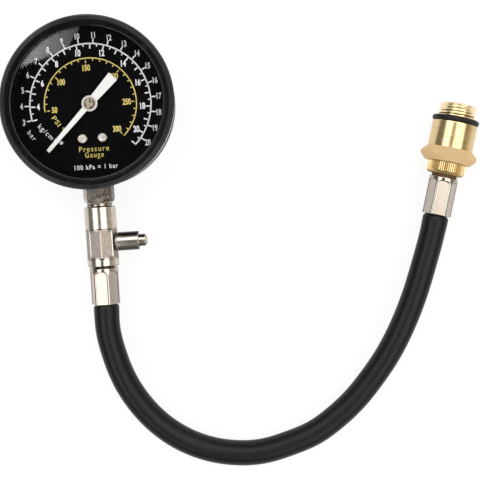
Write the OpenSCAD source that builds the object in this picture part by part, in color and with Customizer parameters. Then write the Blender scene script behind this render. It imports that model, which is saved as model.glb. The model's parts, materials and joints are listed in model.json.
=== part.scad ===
// Cylinder pressure tester: a dial gauge on a square stem, a tee with a release valve,
// a rubber hose between crimped ferrules, and a screw-in brass adapter.
// Lengths are in millimetres. The gauge lies on its back with its dial facing +Z and its stem along -Y.
// The origin is on the gauge axis, at the back face of the case.

/* [Case] */
// Outside diameter of the case cup
case_d = 80; // [76:0.5:84]
// Thickness of the case wall
case_wall = 0.9; // [0.7:0.1:1.4]
// Thickness of the case back
case_back_t = 1.5; // [1.3:0.1:2]
// Height of the case rim above the back face
case_h = 29; // [28:0.5:33]
// Outer rounding between the case back and its wall
case_round = 3; // [2:0.5:4]

/* [Bezel and lens] */
// Thickness of the bezel skirt around the case
bezel_wall = 1.35; // [1:0.05:2]
// Height of the bezel from its lower edge to its top
bezel_h = 10; // [8:0.5:14]
// Diameter of the window in the bezel
window_d = 72; // [66:0.5:73]
// Thickness of the bezel lip at the window edge
lip_edge_t = 0.9; // [0.7:0.1:1.2]
// Thickness of the bezel lip at its outer crest
lip_t = 1.6; // [1.3:0.1:2.2]
// Thickness of the lens
lens_t = 2; // [1.5:0.1:2.5]
// Thickness of the rubber seal under the lens
seal_t = 1.2; // [0.8:0.1:1.8]
// Width of the rubber seal
seal_w = 2.2; // [1.6:0.1:2.6]

/* [Dial and pointer] */
// Height of the dial's printed face
dial_z = 21; // [20.8:0.1:22]
// Thickness of the dial plate
dial_t = 0.6; // [0.4:0.1:0.8]
// Gap between the dial plate and the case wall
dial_gap = 0.7; // [0.4:0.1:1.2]
// Distance of the dial screws from the dial's upright middle line
dial_screw_x = 4.85; // [4.5:0.05:5.5]
// Distance of the dial screws below the gauge axis
dial_screw_y = 16.6; // [15.5:0.1:17]
// Diameter of a dial screw's head
dial_screw_head_d = 4.5; // [3.5:0.1:5]
// Height of a dial screw's head
dial_screw_head_h = 1.2; // [0.8:0.1:1.6]
// Height of the pointer's underside above the dial
pointer_lift = 2.8; // [2:0.1:3.2]
// Thickness of the pointer
pointer_t = 0.5; // [0.3:0.1:0.7]
// Length of the pointer's blade from the gauge axis
pointer_len = 30.6; // [28:0.1:33]
// Width of the blade at the hub
blade_root_w = 2.8; // [2:0.1:3.2]
// Width of the blade at its tip
blade_tip_w = 1.8; // [1:0.1:1.8]
// Length of the pointer's tail from the gauge axis
tail_len = 17.3; // [14:0.1:18]
// Width of the tail at the hub
tail_root_w = 3.5; // [3:0.1:4]
// Width of the tail at its end
tail_end_w = 5.3; // [4:0.1:6]
// Diameter of the pointer's hub disc
hub_d = 7.6; // [7:0.1:9]
// Diameter of the bush on the hub disc
bush_d = 5.4; // [4.5:0.1:6]
// Height of the bush above the pointer
bush_h = 1.1; // [0.8:0.1:1.4]
// Angle of the pointer at rest, anticlockwise from +X
pointer_rest = 225.5; // [222:0.5:228]
// Sweep of the pointer from rest to full scale
pointer_sweep = 270; // [240:5:270]
// Distance of the stop pin from the gauge axis
stop_pin_r = 23.3; // [22:0.1:25]
// Diameter of the stop pin
stop_pin_d = 2; // [1.2:0.1:2]
// Gap between the stop pin and the resting pointer
stop_pin_gap = 0.3; // [0.2:0.05:0.6]

/* [Movement] */
// Gear module of the pinion and the sector
gear_module = 0.3; // [0.28:0.01:0.31]
// Teeth on the pinion
pinion_teeth = 12; // [12:1:13]
// Teeth on a full circle of the sector
sector_teeth = 96; // [92:1:98]
// Thickness of the sector
sector_t = 1; // [0.8:0.1:1.2]
// Height of the sector above the back plate
sector_lift = 2; // [1.8:0.1:2.4]
// Distance from the sector's pivot to the link pin
sector_tail = 4.5; // [4.2:0.1:4.6]
// Thickness of the movement plates
plate_t = 1; // [0.8:0.1:1.2]
// Gap between the movement plates
plate_gap = 6; // [5.8:0.1:6.4]
// Width of the movement plates
plate_w = 21; // [20.5:0.5:24]
// Diameter of the pillars between the plates
pillar_d = 3.2; // [2.8:0.1:3.6]
// Distance of the pillars from the dial's upright middle line
pillar_x = 8; // [7.8:0.1:8.4]
// Distance of the upper pillars above the gauge axis
pillar_top_y = 5; // [4:0.1:6]
// Distance of the lower pillars below the gauge axis
pillar_low_y = 11.5; // [11:0.1:12]
// Diameter of the pinion's arbor
arbor_d = 1.6; // [1.4:0.1:1.8]
// Turns of the hairspring
hairspring_turns = 4; // [3:1:5]
// Thickness of the hairspring strip
hairspring_t = 0.2; // [0.15:0.05:0.3]
// Thickness of the link bar
link_t = 0.8; // [0.6:0.1:1]
// Diameter of the link's pins
link_pin_d = 1.2; // [1:0.1:1.4]

/* [Pressure tube] */
// Mean radius of the curved pressure tube
tube_r = 27; // [26.5:0.1:28]
// Height of the tube's flattened section
tube_h = 10; // [8:0.5:11]
// Width of the tube's flattened section
tube_w = 3; // [2.6:0.1:3.4]
// Wall thickness of the pressure tube
tube_wall = 0.4; // [0.3:0.1:0.6]

/* [Stem] */
// Height of the stem's axis above the back face
stem_z = 12; // [12:0.1:12.4]
// Width across the flats of the square stem
stem_w = 13.9; // [13.4:0.1:15]
// Bevel along the stem's edges
stem_bevel = 1.6; // [1:0.1:2.2]
// Length of the stem outside the case
stem_out = 8.5; // [6:0.1:12]
// Diameter of the collar between the stem and the tee
stem_collar_d = 12.4; // [11:0.1:13]
// Diameter of the stem's threaded spigot
spigot_d = 9.7; // [8:0.1:10.5]
// Length of the stem's threaded spigot
spigot_len = 10.4; // [8:0.1:11]
// Diameter of the pressure bore
bore_d = 4; // [3:0.1:4.4]

/* [Tee] */
// Length of the collar between the stem and the tee
tee_gap = 1.2; // [1:0.1:3]
// Diameter of the tee's turned top
tee_d = 15.5; // [14.5:0.1:15.8]
// Length of the tee's turned top
tee_top_len = 11.6; // [10.5:0.1:14]
// Width across the flats of the eight-sided middle
oct_af = 14.3; // [13.8:0.1:15.6]
// Length of the eight-sided middle
oct_len = 14; // [12:0.1:18]
// Turn of the eight-sided middle about the stem's axis
oct_turn = -3; // [-8:1:8]
// Length of the tee's lower neck
neck_len = 4.1; // [3:0.1:6]
// Diameter of the groove under the neck
groove_d = 10.4; // [9:0.1:11]
// Length of the groove under the neck
groove_len = 0.6; // [0.4:0.1:2]
// Outside diameter of the hose nipples
nipple_d = 5.5; // [5:0.1:5.6]
// Bore of the hose nipples
nipple_bore_d = 2.8; // [2:0.1:3.4]

/* [Release valve] */
// Outside diameter of the release valve's body
release_d = 9.2; // [8.4:0.1:10]
// Distance from the tee's axis to the end of the release valve's body
release_len = 18.2; // [16.5:0.1:20]
// Diameter of the release valve's threaded spigot
release_spigot_d = 6.2; // [5.8:0.1:6.6]
// Diameter of the button
button_d = 5.9; // [5.2:0.1:6]
// Length of the button outside its body
button_out = 4.2; // [3.5:0.1:6]
// Height of the button's dome
button_dome = 1.2; // [0.5:0.1:1.6]
// Travel of the button
button_travel = 2.5; // [1.5:0.1:2.6]
// Diameter of the button's stem
button_stem_d = 2.4; // [2:0.1:2.6]
// Diameter of the spring wire in the release valve
release_wire = 0.4; // [0.3:0.05:0.45]

/* [Ferrules and hose] */
// Width across the flats of the crimped ferrules
ferrule_af = 12.3; // [12:0.1:13]
// Diameter of the ferrules across their ridges
ferrule_d = 14.2; // [13.9:0.1:15]
// Length of the ferrule at the tee
ferrule_upper_len = 18; // [15:0.1:22]
// Length of the ferrule at the adapter
ferrule_lower_len = 18.9; // [15:0.1:22]
// Turn of the crimped flats at the tee, towards the side away from the release valve
ferrule_upper_turn = 10; // [0:1:15]
// Turn of the crimped flats at the adapter
ferrule_lower_turn = -5; // [-15:1:0]
// Thickness of the end wall of the ferrules
ferrule_end_t = 1.6; // [1.2:0.1:2.5]
// Outside diameter of the hose
hose_d = 12.3; // [11:0.1:12.3]
// Bore of the hose
hose_bore_d = 6; // [6:0.1:6.6]

/* [End fitting] */
// Diameter of the brass neck above the lower ferrule
end_neck_d = 12.2; // [9:0.1:12.6]
// Length of the brass neck above the lower ferrule
end_neck_len = 1.5; // [1:0.1:3]
// Diameter of the knurled collar
knurl_d = 18.9; // [17:0.1:20]
// Length of the knurled collar
knurl_len = 5.9; // [4.5:0.1:8]
// Number of ridges on the knurled collar
knurl_ridges = 60; // [36:4:64]
// Depth of the grooves between the ridges
knurl_depth = 0.45; // [0.3:0.05:0.6]
// Diameter of the fitting's own thread, inside the adapter
inner_thread_d = 14; // [12:0.5:14.5]
// Length of the fitting's own thread
inner_thread_len = 12; // [11.5:0.1:13]

/* [Adapter] */
// Diameter of the adapter's bevelled flange
flange_d = 27.5; // [26:0.1:29]
// Length of the flange
flange_len = 6.9; // [6:0.1:9]
// Width across the two wrench flats of the flange
flange_af = 22.2; // [22:0.1:24]
// Diameter of the turned body
adapter_d = 21.9; // [20.5:0.1:22]
// Length of the turned body
adapter_len = 12.8; // [11:0.1:16]
// Outside diameter of the adapter's thread
thread_d = 18; // [17.6:0.1:18.4]
// Length of the thread beyond the seal ring
thread_len = 6.4; // [4:0.1:10]
// Thickness of the seal ring
ring_section = 2.7; // [2:0.1:2.8]
// Depth of the relief that holds the seal ring
ring_relief = 0.3; // [0.2:0.1:0.5]
// Diameter of the adapter's inlet bore
inlet_d = 4.4; // [3.4:0.1:5]
// Diameter of the valve core
core_d = 5.2; // [4.8:0.1:5.6]
// Length of the valve core
core_len = 7; // [6:0.1:7.4]
// Diameter of the valve pin
valve_pin_d = 1.6; // [1.4:0.1:1.8]
// Travel of the valve pin
valve_travel = 1.5; // [1:0.1:1.6]
// Diameter of the spring wire in the valve
valve_wire = 0.3; // [0.2:0.05:0.35]

/* [Hidden] */
$fn = 64;

// Shared fits: running is a turning or sliding fit, snug a fixed one, cut an overrun of a cutting shape.
running = 0.05;
snug = 0.1;
clear = 0.3;
cut = 1;

// Edge breaks on small and larger turned pieces, free depth under a screw, and end play of an arbor.
small_bevel = 0.2;
head_bevel = 0.3;
screw_room = 0.4;
end_play = 0.2;

case_r = case_d / 2;
bezel_in_r = case_r + snug;
bezel_r = bezel_in_r + bezel_wall;
seal_z = case_h;
lens_z = seal_z + seal_t;
lip_z = lens_z + lens_t + snug;
bezel_top_z = lip_z + lip_t;
bezel_low_z = bezel_top_z - bezel_h;
bezel_round = lip_t;
bezel_round_steps = 8;
lens_r = bezel_in_r - clear;

dial_r = case_r - case_wall - dial_gap;
dial_back_z = dial_z - dial_t;
dial_hole_gap = 0.9;
dial_hole_r = arbor_d / 2 + dial_hole_gap;
pointer_z = dial_z + pointer_lift;
pointer_top_z = pointer_z + pointer_t;
bush_wall = 0.7;
bush_tube_r = arbor_d / 2 + bush_wall;
bush_drop = 1.2;
arbor_proud = 0.3;
blade_w_at_pin = blade_root_w + (blade_tip_w - blade_root_w) * stop_pin_r / pointer_len;
stop_pin_turn = asin((blade_w_at_pin / 2 + stop_pin_gap + stop_pin_d / 2) / stop_pin_r);
stop_pin_angle = pointer_rest + stop_pin_turn;
stop_pin_proud = 0.7;
stop_pin_top_z = pointer_top_z + stop_pin_proud;
stop_pin_rivet = 0.4;

pad_drop = 3;
pad_z = stem_z - pad_drop;
pad_w = 14;
pad_top_y = 7;
back_plate_top_z = pad_z + plate_t;
front_plate_z = back_plate_top_z + plate_gap;
front_plate_top_z = front_plate_z + plate_t;
plate_margin = 3;
plate_top_y = pillar_top_y + plate_margin;
plate_low_y = -dial_screw_y - plate_margin;
plate_round = 2;
sector_z = back_plate_top_z + sector_lift;
sector_top_z = sector_z + sector_t;
pillar_places = [for (x = [-pillar_x, pillar_x], y = [-pillar_low_y, pillar_top_y]) [x, y]];
pillar_screw_d = 1.6;
pillar_screw_head_d = 3;
pillar_screw_head_h = 1;
pillar_screw_len = 3;
movement_screw_x = 4.5;
movement_screw_y = -6;
movement_screw_places = [for (x = [-movement_screw_x, movement_screw_x]) [x, movement_screw_y]];
movement_screw_d = 2;
movement_screw_head_d = 3.6;
movement_screw_head_h = 1;
movement_screw_len = 3.5;
dial_screw_places = [for (x = [-dial_screw_x, dial_screw_x]) [x, -dial_screw_y]];
dial_screw_d = 2;
screw_slot = 0.6;
dial_post_d = 4;
dial_post_spigot_d = 2.8;

// Gear sizes. The sector's teeth are short, so that they clear the small pinion's flanks.
pressure_angle = 20;
gear_backlash = 0.06;
pinion_tooth_add = gear_module;
short_add = 0.6;
long_ded = 1.35;
sector_tooth_add = short_add * gear_module;
tooth_ded = long_ded * gear_module;
pinion_pitch_r = gear_module * pinion_teeth / 2;
sector_pitch_r = gear_module * sector_teeth / 2;
pivot_y = -(pinion_pitch_r + sector_pitch_r);
sector_sweep = pointer_sweep * pinion_teeth / sector_teeth;
sector_spare_arc = 4;
sector_half_teeth = ceil((sector_sweep / 2 + sector_spare_arc) * sector_teeth / 360);
pinion_overhang = 0.2;
pinion_t = sector_t + 2 * pinion_overhang;
pinion_z = sector_z - pinion_overhang;
sector_rim_w = 3;
sector_hub_r = 2.6;
sector_arm_share = 0.6;
sector_arbor_d = 2;
pivot_d = 1.2;
tail_w = 3;
slot_travel = sector_tail * (1 / cos(sector_sweep / 2) - 1);
link_y = pivot_y - sector_tail;
link_half_slide = sector_tail * tan(sector_sweep / 2);
collet_wall = 0.8;
collet_d = arbor_d + 2 * collet_wall;
collet_lift = 0.9;
collet_z = sector_top_z + collet_lift;
collet_h = 1.4;
hairspring_h = 0.8;
hairspring_z = collet_z + (collet_h - hairspring_h) / 2;
hairspring_in_r = collet_d / 2 + running;
hairspring_out_r = 6.4;
hairspring_steps = 24;
hairspring_lead = 25;
hairspring_end_angle = atan2(pillar_top_y, pillar_x);
hairspring_end_r = norm([pillar_x, pillar_top_y]) - pillar_d / 2 - running;

// The pressure tube runs clockwise from the socket, over the top, to its moving tip at the right.
tube_root_angle = 256;
tube_end_angle = -12;
tip_arc = 8;
tube_slot_arc = 20;
tube_slot_room = 0.3;
tube_port_turn = 40;
tube_port_len = 7;
tip_angle = tube_end_angle - tip_arc / 2;
tip_ear_reach = 2.6;
tip_pin_r = tube_r - tube_w / 2 - tip_ear_reach;
tip_ear_r = 1.7;
tip_pin = [tip_pin_r * cos(tip_angle), tip_pin_r * sin(tip_angle)];
tail_pin = [-link_half_slide, link_y];
link_z = sector_top_z + end_play;
link_top_z = link_z + link_t;
link_pin_rivet = 0.4;
link_pin_drop = 0.5;
link_eye_wall = 0.7;
link_eye_d = link_pin_d + 2 * link_eye_wall;
link_bar_w = 1.8;

tail_room = 1;
socket_top_y = link_y - slot_travel - tail_w / 2 - tail_room;
socket_foot_z = case_back_t;
socket_foot_w = 14;
socket_foot_len = 12;
socket_foot_gap = 2;
socket_foot_y = -(case_r - case_wall - socket_foot_gap);
case_screw_x = 4.5;
case_screw_places = [for (x = [-case_screw_x, case_screw_x]) [x, socket_foot_y + socket_foot_len / 2]];
case_screw_d = 3;
case_screw_head_d = 5.6;
case_screw_len = 6;
stem_end = case_r + stem_out;
stem_end_chamfer = 0.9;
stem_corner_r = stem_w / sqrt(2);
socket_bore_stop = 4;
socket_bore_end = -socket_top_y + socket_bore_stop;

// Places along the stem's axis, counted from the gauge axis.
tee_top = stem_end + tee_gap;
oct_top = tee_top + tee_top_len;
oct_end = oct_top + oct_len;
neck_end = oct_end + neck_len;
ferrule_top = neck_end + groove_len;
ferrule_mouth = ferrule_top + ferrule_upper_len;
edge_chamfer = 0.6;
oct_chamfer = 0.9;
oct_half = 180 / 8;
port_rise = 0.6;
port_at = oct_top + oct_len / 2 - port_rise;
port_seat = oct_af / 2 - snug;
nipple_short = 1.2;
nipple_bevel = 0.4;

// Places along the release valve's axis, counted from the tee's axis.
release_spigot_end = 3.5;
release_spring_seat = 9;
release_spring_turns = 4;
release_coil_r = (button_d + button_stem_d) / 4;
button_in = 3.9;
button_base = release_len - button_in;
poppet_d = 4.6;
poppet_t = 1.2;
release_seal_t = 0.8;
poppet_top = release_spigot_end - release_seal_t - snug;
poppet_room = 0.3;

// The hose follows its own points, counted from the mouth of the upper ferrule.
hose_route = [[0, 0, 0], [0, -12, 0], [2, -24, -0.6], [5.5, -36, -1.7], [12, -49, -3], [21, -60.5, -4.2],
              [32, -69.5, -5.1], [45.5, -76, -5.6], [59, -79, -5.8], [73, -79, -5.8], [86, -76, -5.8],
              [98.5, -71.5, -5.6], [109.5, -64.5, -5.1], [119.5, -56, -4.3], [128, -46.5, -3.3],
              [136, -36, -2.2], [143, -24.5, -1.2], [149, -12.5, -0.5], [154, -0.5, -0.1],
              [158, 10.5, 0], [161.8, 21.5, 0], [165.2, 33, 0]];
end_turn = 15.5;
hose_sides = 12;
ferrule_wall = 1.05;
hose_crimp_r = ferrule_af / 2 - ferrule_wall - snug;
hose_bore_r = hose_bore_d / 2;
hose_step = 0.3;
ferrule_bore_r = hose_crimp_r + snug;
ferrule_shoulder = 0.5;
ferrule_arch = 1.6;
hose_end = hose_route[len(hose_route) - 1];

// Places along the adapter's axis, counted from the mouth of the lower ferrule.
end_neck_z = ferrule_lower_len;
knurl_z = end_neck_z + end_neck_len;
knurl_chamfer = 1;
knurl_core_r = knurl_d / 2 - knurl_depth - clear;
flange_z = knurl_z + knurl_len;
flange_end = flange_z + flange_len;
flange_edge = 1.5;
ring_z = flange_end + adapter_len;
thread_z = ring_z + ring_section + 2 * snug;
thread_end = thread_z + thread_len;
thread_chamfer = 0.8;
ring_in_r = thread_d / 2 - ring_relief + running;
inner_thread_end = flange_z + inner_thread_len;
adapter_room = 2;
adapter_room_end = inner_thread_end + adapter_room;
core_inset = 2.3;
core_z = inner_thread_end - core_len - core_inset;
core_end = core_z + core_len;
valve_head_d = 3.2;
valve_head_t = 1.1;
valve_cap_d = 3;
valve_cap_t = 0.8;
valve_cap_proud = 0.7;
valve_cap_z = inner_thread_end + valve_cap_proud;
valve_room_d = 4.2;
valve_room_len = valve_head_t + valve_travel + cut;
valve_spring_turns = 4;
valve_coil_r = (valve_pin_d + valve_cap_d) / 4 + snug;

// Turns children that stand on +Z so that they run along the stem, the release valve or the adapter.
module along_stem(at = 0) translate([0, -at, stem_z]) rotate([90, 0, 0]) children();
module along_port(at = 0) translate([at, -port_at, stem_z]) rotate([0, 90, 0]) children();
module along_end(at = 0)
    translate(hose_end + [0, -ferrule_mouth, stem_z])
        rotate([0, 0, -end_turn])
            rotate([-90, 0, 0])
                translate([0, 0, at]) children();

// A round bar with bevelled ends.
module bevelled_bar(r, h, low = 0, high = 0)
    rotate_extrude()
        polygon([[0, 0], [r - low, 0], [r, low], [r, h - high], [r - high, h], [0, h]]);

// A flat ring.
module ring(r_out, r_in, h) difference() {
    cylinder(r = r_out, h = h);
    translate([0, 0, -cut]) cylinder(r = r_in, h = h + 2 * cut);
}

// A flat rectangle with round corners, centred on X.
module round_rectangle(w, low_y, high_y, r) {
    translate([-w / 2 + r, low_y]) square([w - 2 * r, high_y - low_y]);
    translate([-w / 2, low_y + r]) square([w, high_y - low_y - 2 * r]);
    for (x = [-w / 2 + r, w / 2 - r], y = [low_y + r, high_y - r]) translate([x, y]) circle(r = r);
}

// A flattened tube section of width w and height h, standing on its narrow side.
module oval(w, h) {
    square([w, h - w], center = true);
    for (y = [-1, 1]) translate([0, y * (h - w) / 2]) circle(d = w);
}

// A stretch of the pressure tube's section around the gauge axis.
module tube_arc(w, h, from, to)
    translate([0, 0, stem_z])
        rotate([0, 0, from])
            rotate_extrude(angle = to - from)
                translate([tube_r, 0]) oval(w, h);

// Involute teeth: each tooth is a fan of points on two mirrored flanks.
function involute(a) = tan(a) * 180 / PI - a;
function tooth_half(r, teeth, base) =
    90 / teeth + involute(pressure_angle) - involute(acos(min(1, base / r)))
    - gear_backlash / 2 / (gear_module * teeth / 2) * 180 / PI / 2;
function polar(r, a) = [r * cos(a), r * sin(a)];
flank_steps = 4;
function tooth_points(teeth, add, middle) =
    let (pitch = gear_module * teeth / 2,
         base = pitch * cos(pressure_angle),
         root = pitch - tooth_ded,
         start = max(base, root),
         tip = pitch + add,
         radii = [for (i = [0 : flank_steps]) start + (tip - start) * i / flank_steps])
    concat([polar(root, middle - tooth_half(start, teeth, base))],
           [for (r = radii) polar(r, middle - tooth_half(r, teeth, base))],
           [for (i = [flank_steps : -1 : 0]) polar(radii[i], middle + tooth_half(radii[i], teeth, base))],
           [polar(root, middle + tooth_half(start, teeth, base))]);

// A coil of round wire along +Z, swept as one closed solid.
coil_sides = 8;
coil_steps = 14;
module coil(r, wire, h, turns) {
    count = turns * coil_steps;
    rise = (h - wire) / count;
    points = [for (i = [0 : count], j = [0 : coil_sides - 1])
        let (a = 360 * i / coil_steps,
             b = 360 * j / coil_sides,
             rr = r + wire / 2 * cos(b))
        [rr * cos(a), rr * sin(a), wire / 2 + rise * i + wire / 2 * sin(b)]];
    polyhedron(points, swept_faces(count + 1, coil_sides));
}

// Faces of a closed sweep of rings that each have the same number of points.
function swept_faces(rings, sides) = concat(
    [[for (j = [0 : sides - 1]) j]],
    [for (i = [0 : rings - 2], j = [0 : sides - 1])
        let (k = (j + 1) % sides)
        each [[i * sides + j, (i + 1) * sides + j, (i + 1) * sides + k],
              [i * sides + j, (i + 1) * sides + k, i * sides + k]]],
    [[for (j = [sides - 1 : -1 : 0]) (rings - 1) * sides + j]]);

module gauge_case() color("#1b1b1d") difference() {
    union() {
        translate([0, 0, case_round]) cylinder(r = case_r, h = case_h - case_round);
        rotate_extrude() {
            square([case_r - case_round, case_round]);
            intersection() {
                translate([case_r - case_round, case_round]) circle(r = case_round);
                square([case_r, case_round]);
            }
        }
    }
    translate([0, 0, case_back_t]) cylinder(r = case_r - case_wall, h = case_h);
    translate([-stem_w / 2 - snug, -case_r - cut, stem_z - stem_w / 2 - snug])
        cube([stem_w + 2 * snug, case_r / 2, stem_w + 2 * snug]);
    for (p = case_screw_places) translate([p[0], p[1], 0]) {
        translate([0, 0, -cut]) cylinder(d = case_screw_d + 2 * snug, h = case_back_t + 2 * cut);
        countersink(snug);
    }
}

// The cone of a countersunk screw head in the case back, with its wide end at the back face.
module countersink(gap) {
    cylinder(d1 = case_screw_head_d + 2 * gap, d2 = case_screw_d + 2 * gap, h = case_back_t - snug);
}

module bezel_ring() color("#222224") rotate_extrude()
    polygon(concat(
        [[window_d / 2, lip_z], [window_d / 2, lip_z + lip_edge_t]],
        [for (i = [0 : bezel_round_steps])
            [bezel_r - bezel_round, bezel_top_z - bezel_round]
                + polar(bezel_round, 90 - 90 * i / bezel_round_steps)],
        [[bezel_r, bezel_low_z], [bezel_in_r, bezel_low_z], [bezel_in_r, lip_z]]));

module gauge_lens() color("#d8e4ea", 0.35) translate([0, 0, lens_z])
    bevelled_bar(lens_r, lens_t, small_bevel, small_bevel);

module lens_seal() color("#101010") translate([0, 0, seal_z]) ring(case_r, case_r - seal_w, seal_t);

module dial_plate() color("#151515") translate([0, 0, dial_back_z]) linear_extrude(dial_t) difference() {
    circle(r = dial_r);
    circle(r = dial_hole_r);
    for (p = dial_screw_places) translate(p) circle(d = dial_screw_d + 2 * snug);
    translate(polar(stop_pin_r, stop_pin_angle)) circle(d = stop_pin_d + 2 * running);
}

module dial_screws() color("#b9a774") for (p = dial_screw_places) translate([p[0], p[1], 0]) {
    difference() {
        translate([0, 0, dial_z]) bevelled_bar(dial_screw_head_d / 2, dial_screw_head_h, 0, head_bevel);
        translate([-dial_screw_head_d, -screw_slot / 2, dial_z + dial_screw_head_h - screw_slot])
            cube([2 * dial_screw_head_d, screw_slot, cut]);
    }
    translate([0, 0, front_plate_top_z + 2 * screw_room])
        cylinder(d = dial_screw_d, h = dial_z - front_plate_top_z - screw_room);
}

module dial_posts() color("#c9a24a") for (p = dial_screw_places) translate([p[0], p[1], 0]) difference() {
    union() {
        translate([0, 0, front_plate_top_z]) cylinder(d = dial_post_d, h = dial_back_z - front_plate_top_z);
        translate([0, 0, front_plate_z]) cylinder(d = dial_post_spigot_d, h = plate_t + cut);
    }
    translate([0, 0, front_plate_top_z + screw_room])
        cylinder(d = dial_screw_d + 2 * running, h = dial_back_z - front_plate_top_z);
}

module stop_pin() color("#c9c9c9") translate(polar(stop_pin_r, stop_pin_angle))
    translate([0, 0, dial_back_z - stop_pin_rivet])
        bevelled_bar(stop_pin_d / 2, stop_pin_top_z - dial_back_z + stop_pin_rivet, 0, small_bevel);

module pointer() color("#f4f4f2") translate([0, 0, pointer_z]) linear_extrude(pointer_t) difference() {
    rotate(pointer_rest) union() {
        polygon([[0, -blade_root_w / 2], [pointer_len, -blade_tip_w / 2],
                 [pointer_len, blade_tip_w / 2], [0, blade_root_w / 2]]);
        polygon([[0, -tail_root_w / 2], [0, tail_root_w / 2],
                 [-tail_len, tail_end_w / 2], [-tail_len, -tail_end_w / 2]]);
        circle(d = hub_d);
    }
    circle(r = bush_tube_r + running);
}

module pointer_bush() color("#b8a888") difference() {
    union() {
        translate([0, 0, pointer_top_z]) bevelled_bar(bush_d / 2, bush_h, 0, head_bevel);
        translate([0, 0, pointer_z - bush_drop])
            cylinder(r = bush_tube_r, h = bush_drop + pointer_t + bush_h / 2);
    }
    translate([0, 0, pointer_z - bush_drop - cut])
        cylinder(d = arbor_d + running, h = bush_drop + pointer_t + bush_h + 2 * cut);
}

module pinion_arbor() color("#c9a24a") {
    top = pointer_top_z + bush_h - arbor_proud;
    translate([0, 0, pad_z + end_play]) cylinder(d = pivot_d, h = plate_t);
    translate([0, 0, back_plate_top_z + end_play])
        cylinder(d = arbor_d, h = top - back_plate_top_z - end_play);
    translate([0, 0, collet_z]) cylinder(d = collet_d, h = collet_h);
    translate([0, 0, pinion_z]) linear_extrude(pinion_t)
        rotate(pointer_sweep / 2 - 90 + 180 / pinion_teeth)
            polygon([for (k = [0 : pinion_teeth - 1])
                each tooth_points(pinion_teeth, pinion_tooth_add, 360 * k / pinion_teeth)]);
}

module sector_gear() color("#c9a24a")
translate([0, pivot_y, sector_z]) rotate(-sector_sweep / 2) difference() {
    step = 360 / sector_teeth;
    edge = (sector_half_teeth + 0.5) * step;
    rim_in_r = sector_pitch_r - tooth_ded - sector_rim_w;
    arm_r = rim_in_r + sector_rim_w / 2;
    arm_turn = edge * sector_arm_share;
    union() {
        linear_extrude(sector_t) polygon(concat(
            [for (k = [-sector_half_teeth : sector_half_teeth])
                each tooth_points(sector_teeth, sector_tooth_add, 90 + k * step)],
            [for (a = [edge : -step : -edge]) polar(rim_in_r, 90 + a)]));
        linear_extrude(sector_t) polygon([
            [-sector_hub_r, 0], polar(arm_r, 90 + arm_turn), polar(arm_r, 90 - arm_turn), [sector_hub_r, 0],
            [tail_w / 2, -sector_tail], [-tail_w / 2, -sector_tail]]);
        cylinder(r = sector_hub_r, h = sector_t);
        translate([0, -sector_tail - slot_travel, 0]) cylinder(d = tail_w, h = sector_t);
    }
    translate([0, 0, -cut]) cylinder(d = sector_arbor_d + running, h = sector_t + 2 * cut);
    translate([0, -sector_tail, -cut])
        slot(link_pin_d / 2 + running, slot_travel + running, sector_t + 2 * cut);
}

// A round-ended slot that runs from the origin along -Y.
module slot(r, travel, h) {
    for (y = [0, -travel]) translate([0, y, 0]) cylinder(r = r, h = h);
    translate([-r, -travel, 0]) cube([2 * r, travel, h]);
}

module sector_arbor() color("#b9b9b9") translate([0, pivot_y, 0]) {
    translate([0, 0, pad_z + end_play]) cylinder(d = pivot_d, h = front_plate_top_z - pad_z - 2 * end_play);
    translate([0, 0, back_plate_top_z + end_play]) cylinder(d = sector_arbor_d, h = plate_gap - 2 * end_play);
}

// The outline that both movement plates share, with the bearings of the two arbors.
module plate_outline() difference() {
    round_rectangle(plate_w, plate_low_y, plate_top_y, plate_round);
    translate([0, pivot_y]) circle(d = pivot_d + 2 * running);
}

module movement_front_plate() color("#c9a24a") translate([0, 0, front_plate_z]) linear_extrude(plate_t)
    difference() {
        plate_outline();
        circle(d = arbor_d + 2 * running);
        for (p = pillar_places) translate(p) circle(d = pillar_screw_d + 2 * snug);
        for (p = dial_screw_places) translate(p) circle(d = dial_post_spigot_d + 2 * running);
    }

module movement_back_plate() color("#c9a24a") translate([0, 0, pad_z]) linear_extrude(plate_t) difference() {
    plate_outline();
    circle(d = pivot_d + 2 * running);
    for (p = movement_screw_places) translate(p) circle(d = movement_screw_d + 2 * snug);
}

module movement_pillars() color("#c9a24a") for (p = pillar_places) translate([p[0], p[1], 0]) difference() {
    translate([0, 0, back_plate_top_z]) cylinder(d = pillar_d, h = plate_gap);
    translate([0, 0, front_plate_z - pillar_screw_len])
        cylinder(d = pillar_screw_d + 2 * running, h = pillar_screw_len + cut);
}

module pillar_screws() color("#b9b9b9") for (p = pillar_places) translate([p[0], p[1], 0]) {
    translate([0, 0, front_plate_top_z])
        bevelled_bar(pillar_screw_head_d / 2, pillar_screw_head_h, 0, head_bevel);
    translate([0, 0, front_plate_z - pillar_screw_len + screw_room])
        cylinder(d = pillar_screw_d, h = pillar_screw_len + plate_t);
}

module movement_screws() color("#b9b9b9") for (p = movement_screw_places) translate([p[0], p[1], 0]) {
    translate([0, 0, back_plate_top_z])
        bevelled_bar(movement_screw_head_d / 2, movement_screw_head_h, 0, head_bevel);
    translate([0, 0, pad_z - movement_screw_len + screw_room])
        cylinder(d = movement_screw_d, h = movement_screw_len + plate_t);
}

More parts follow.
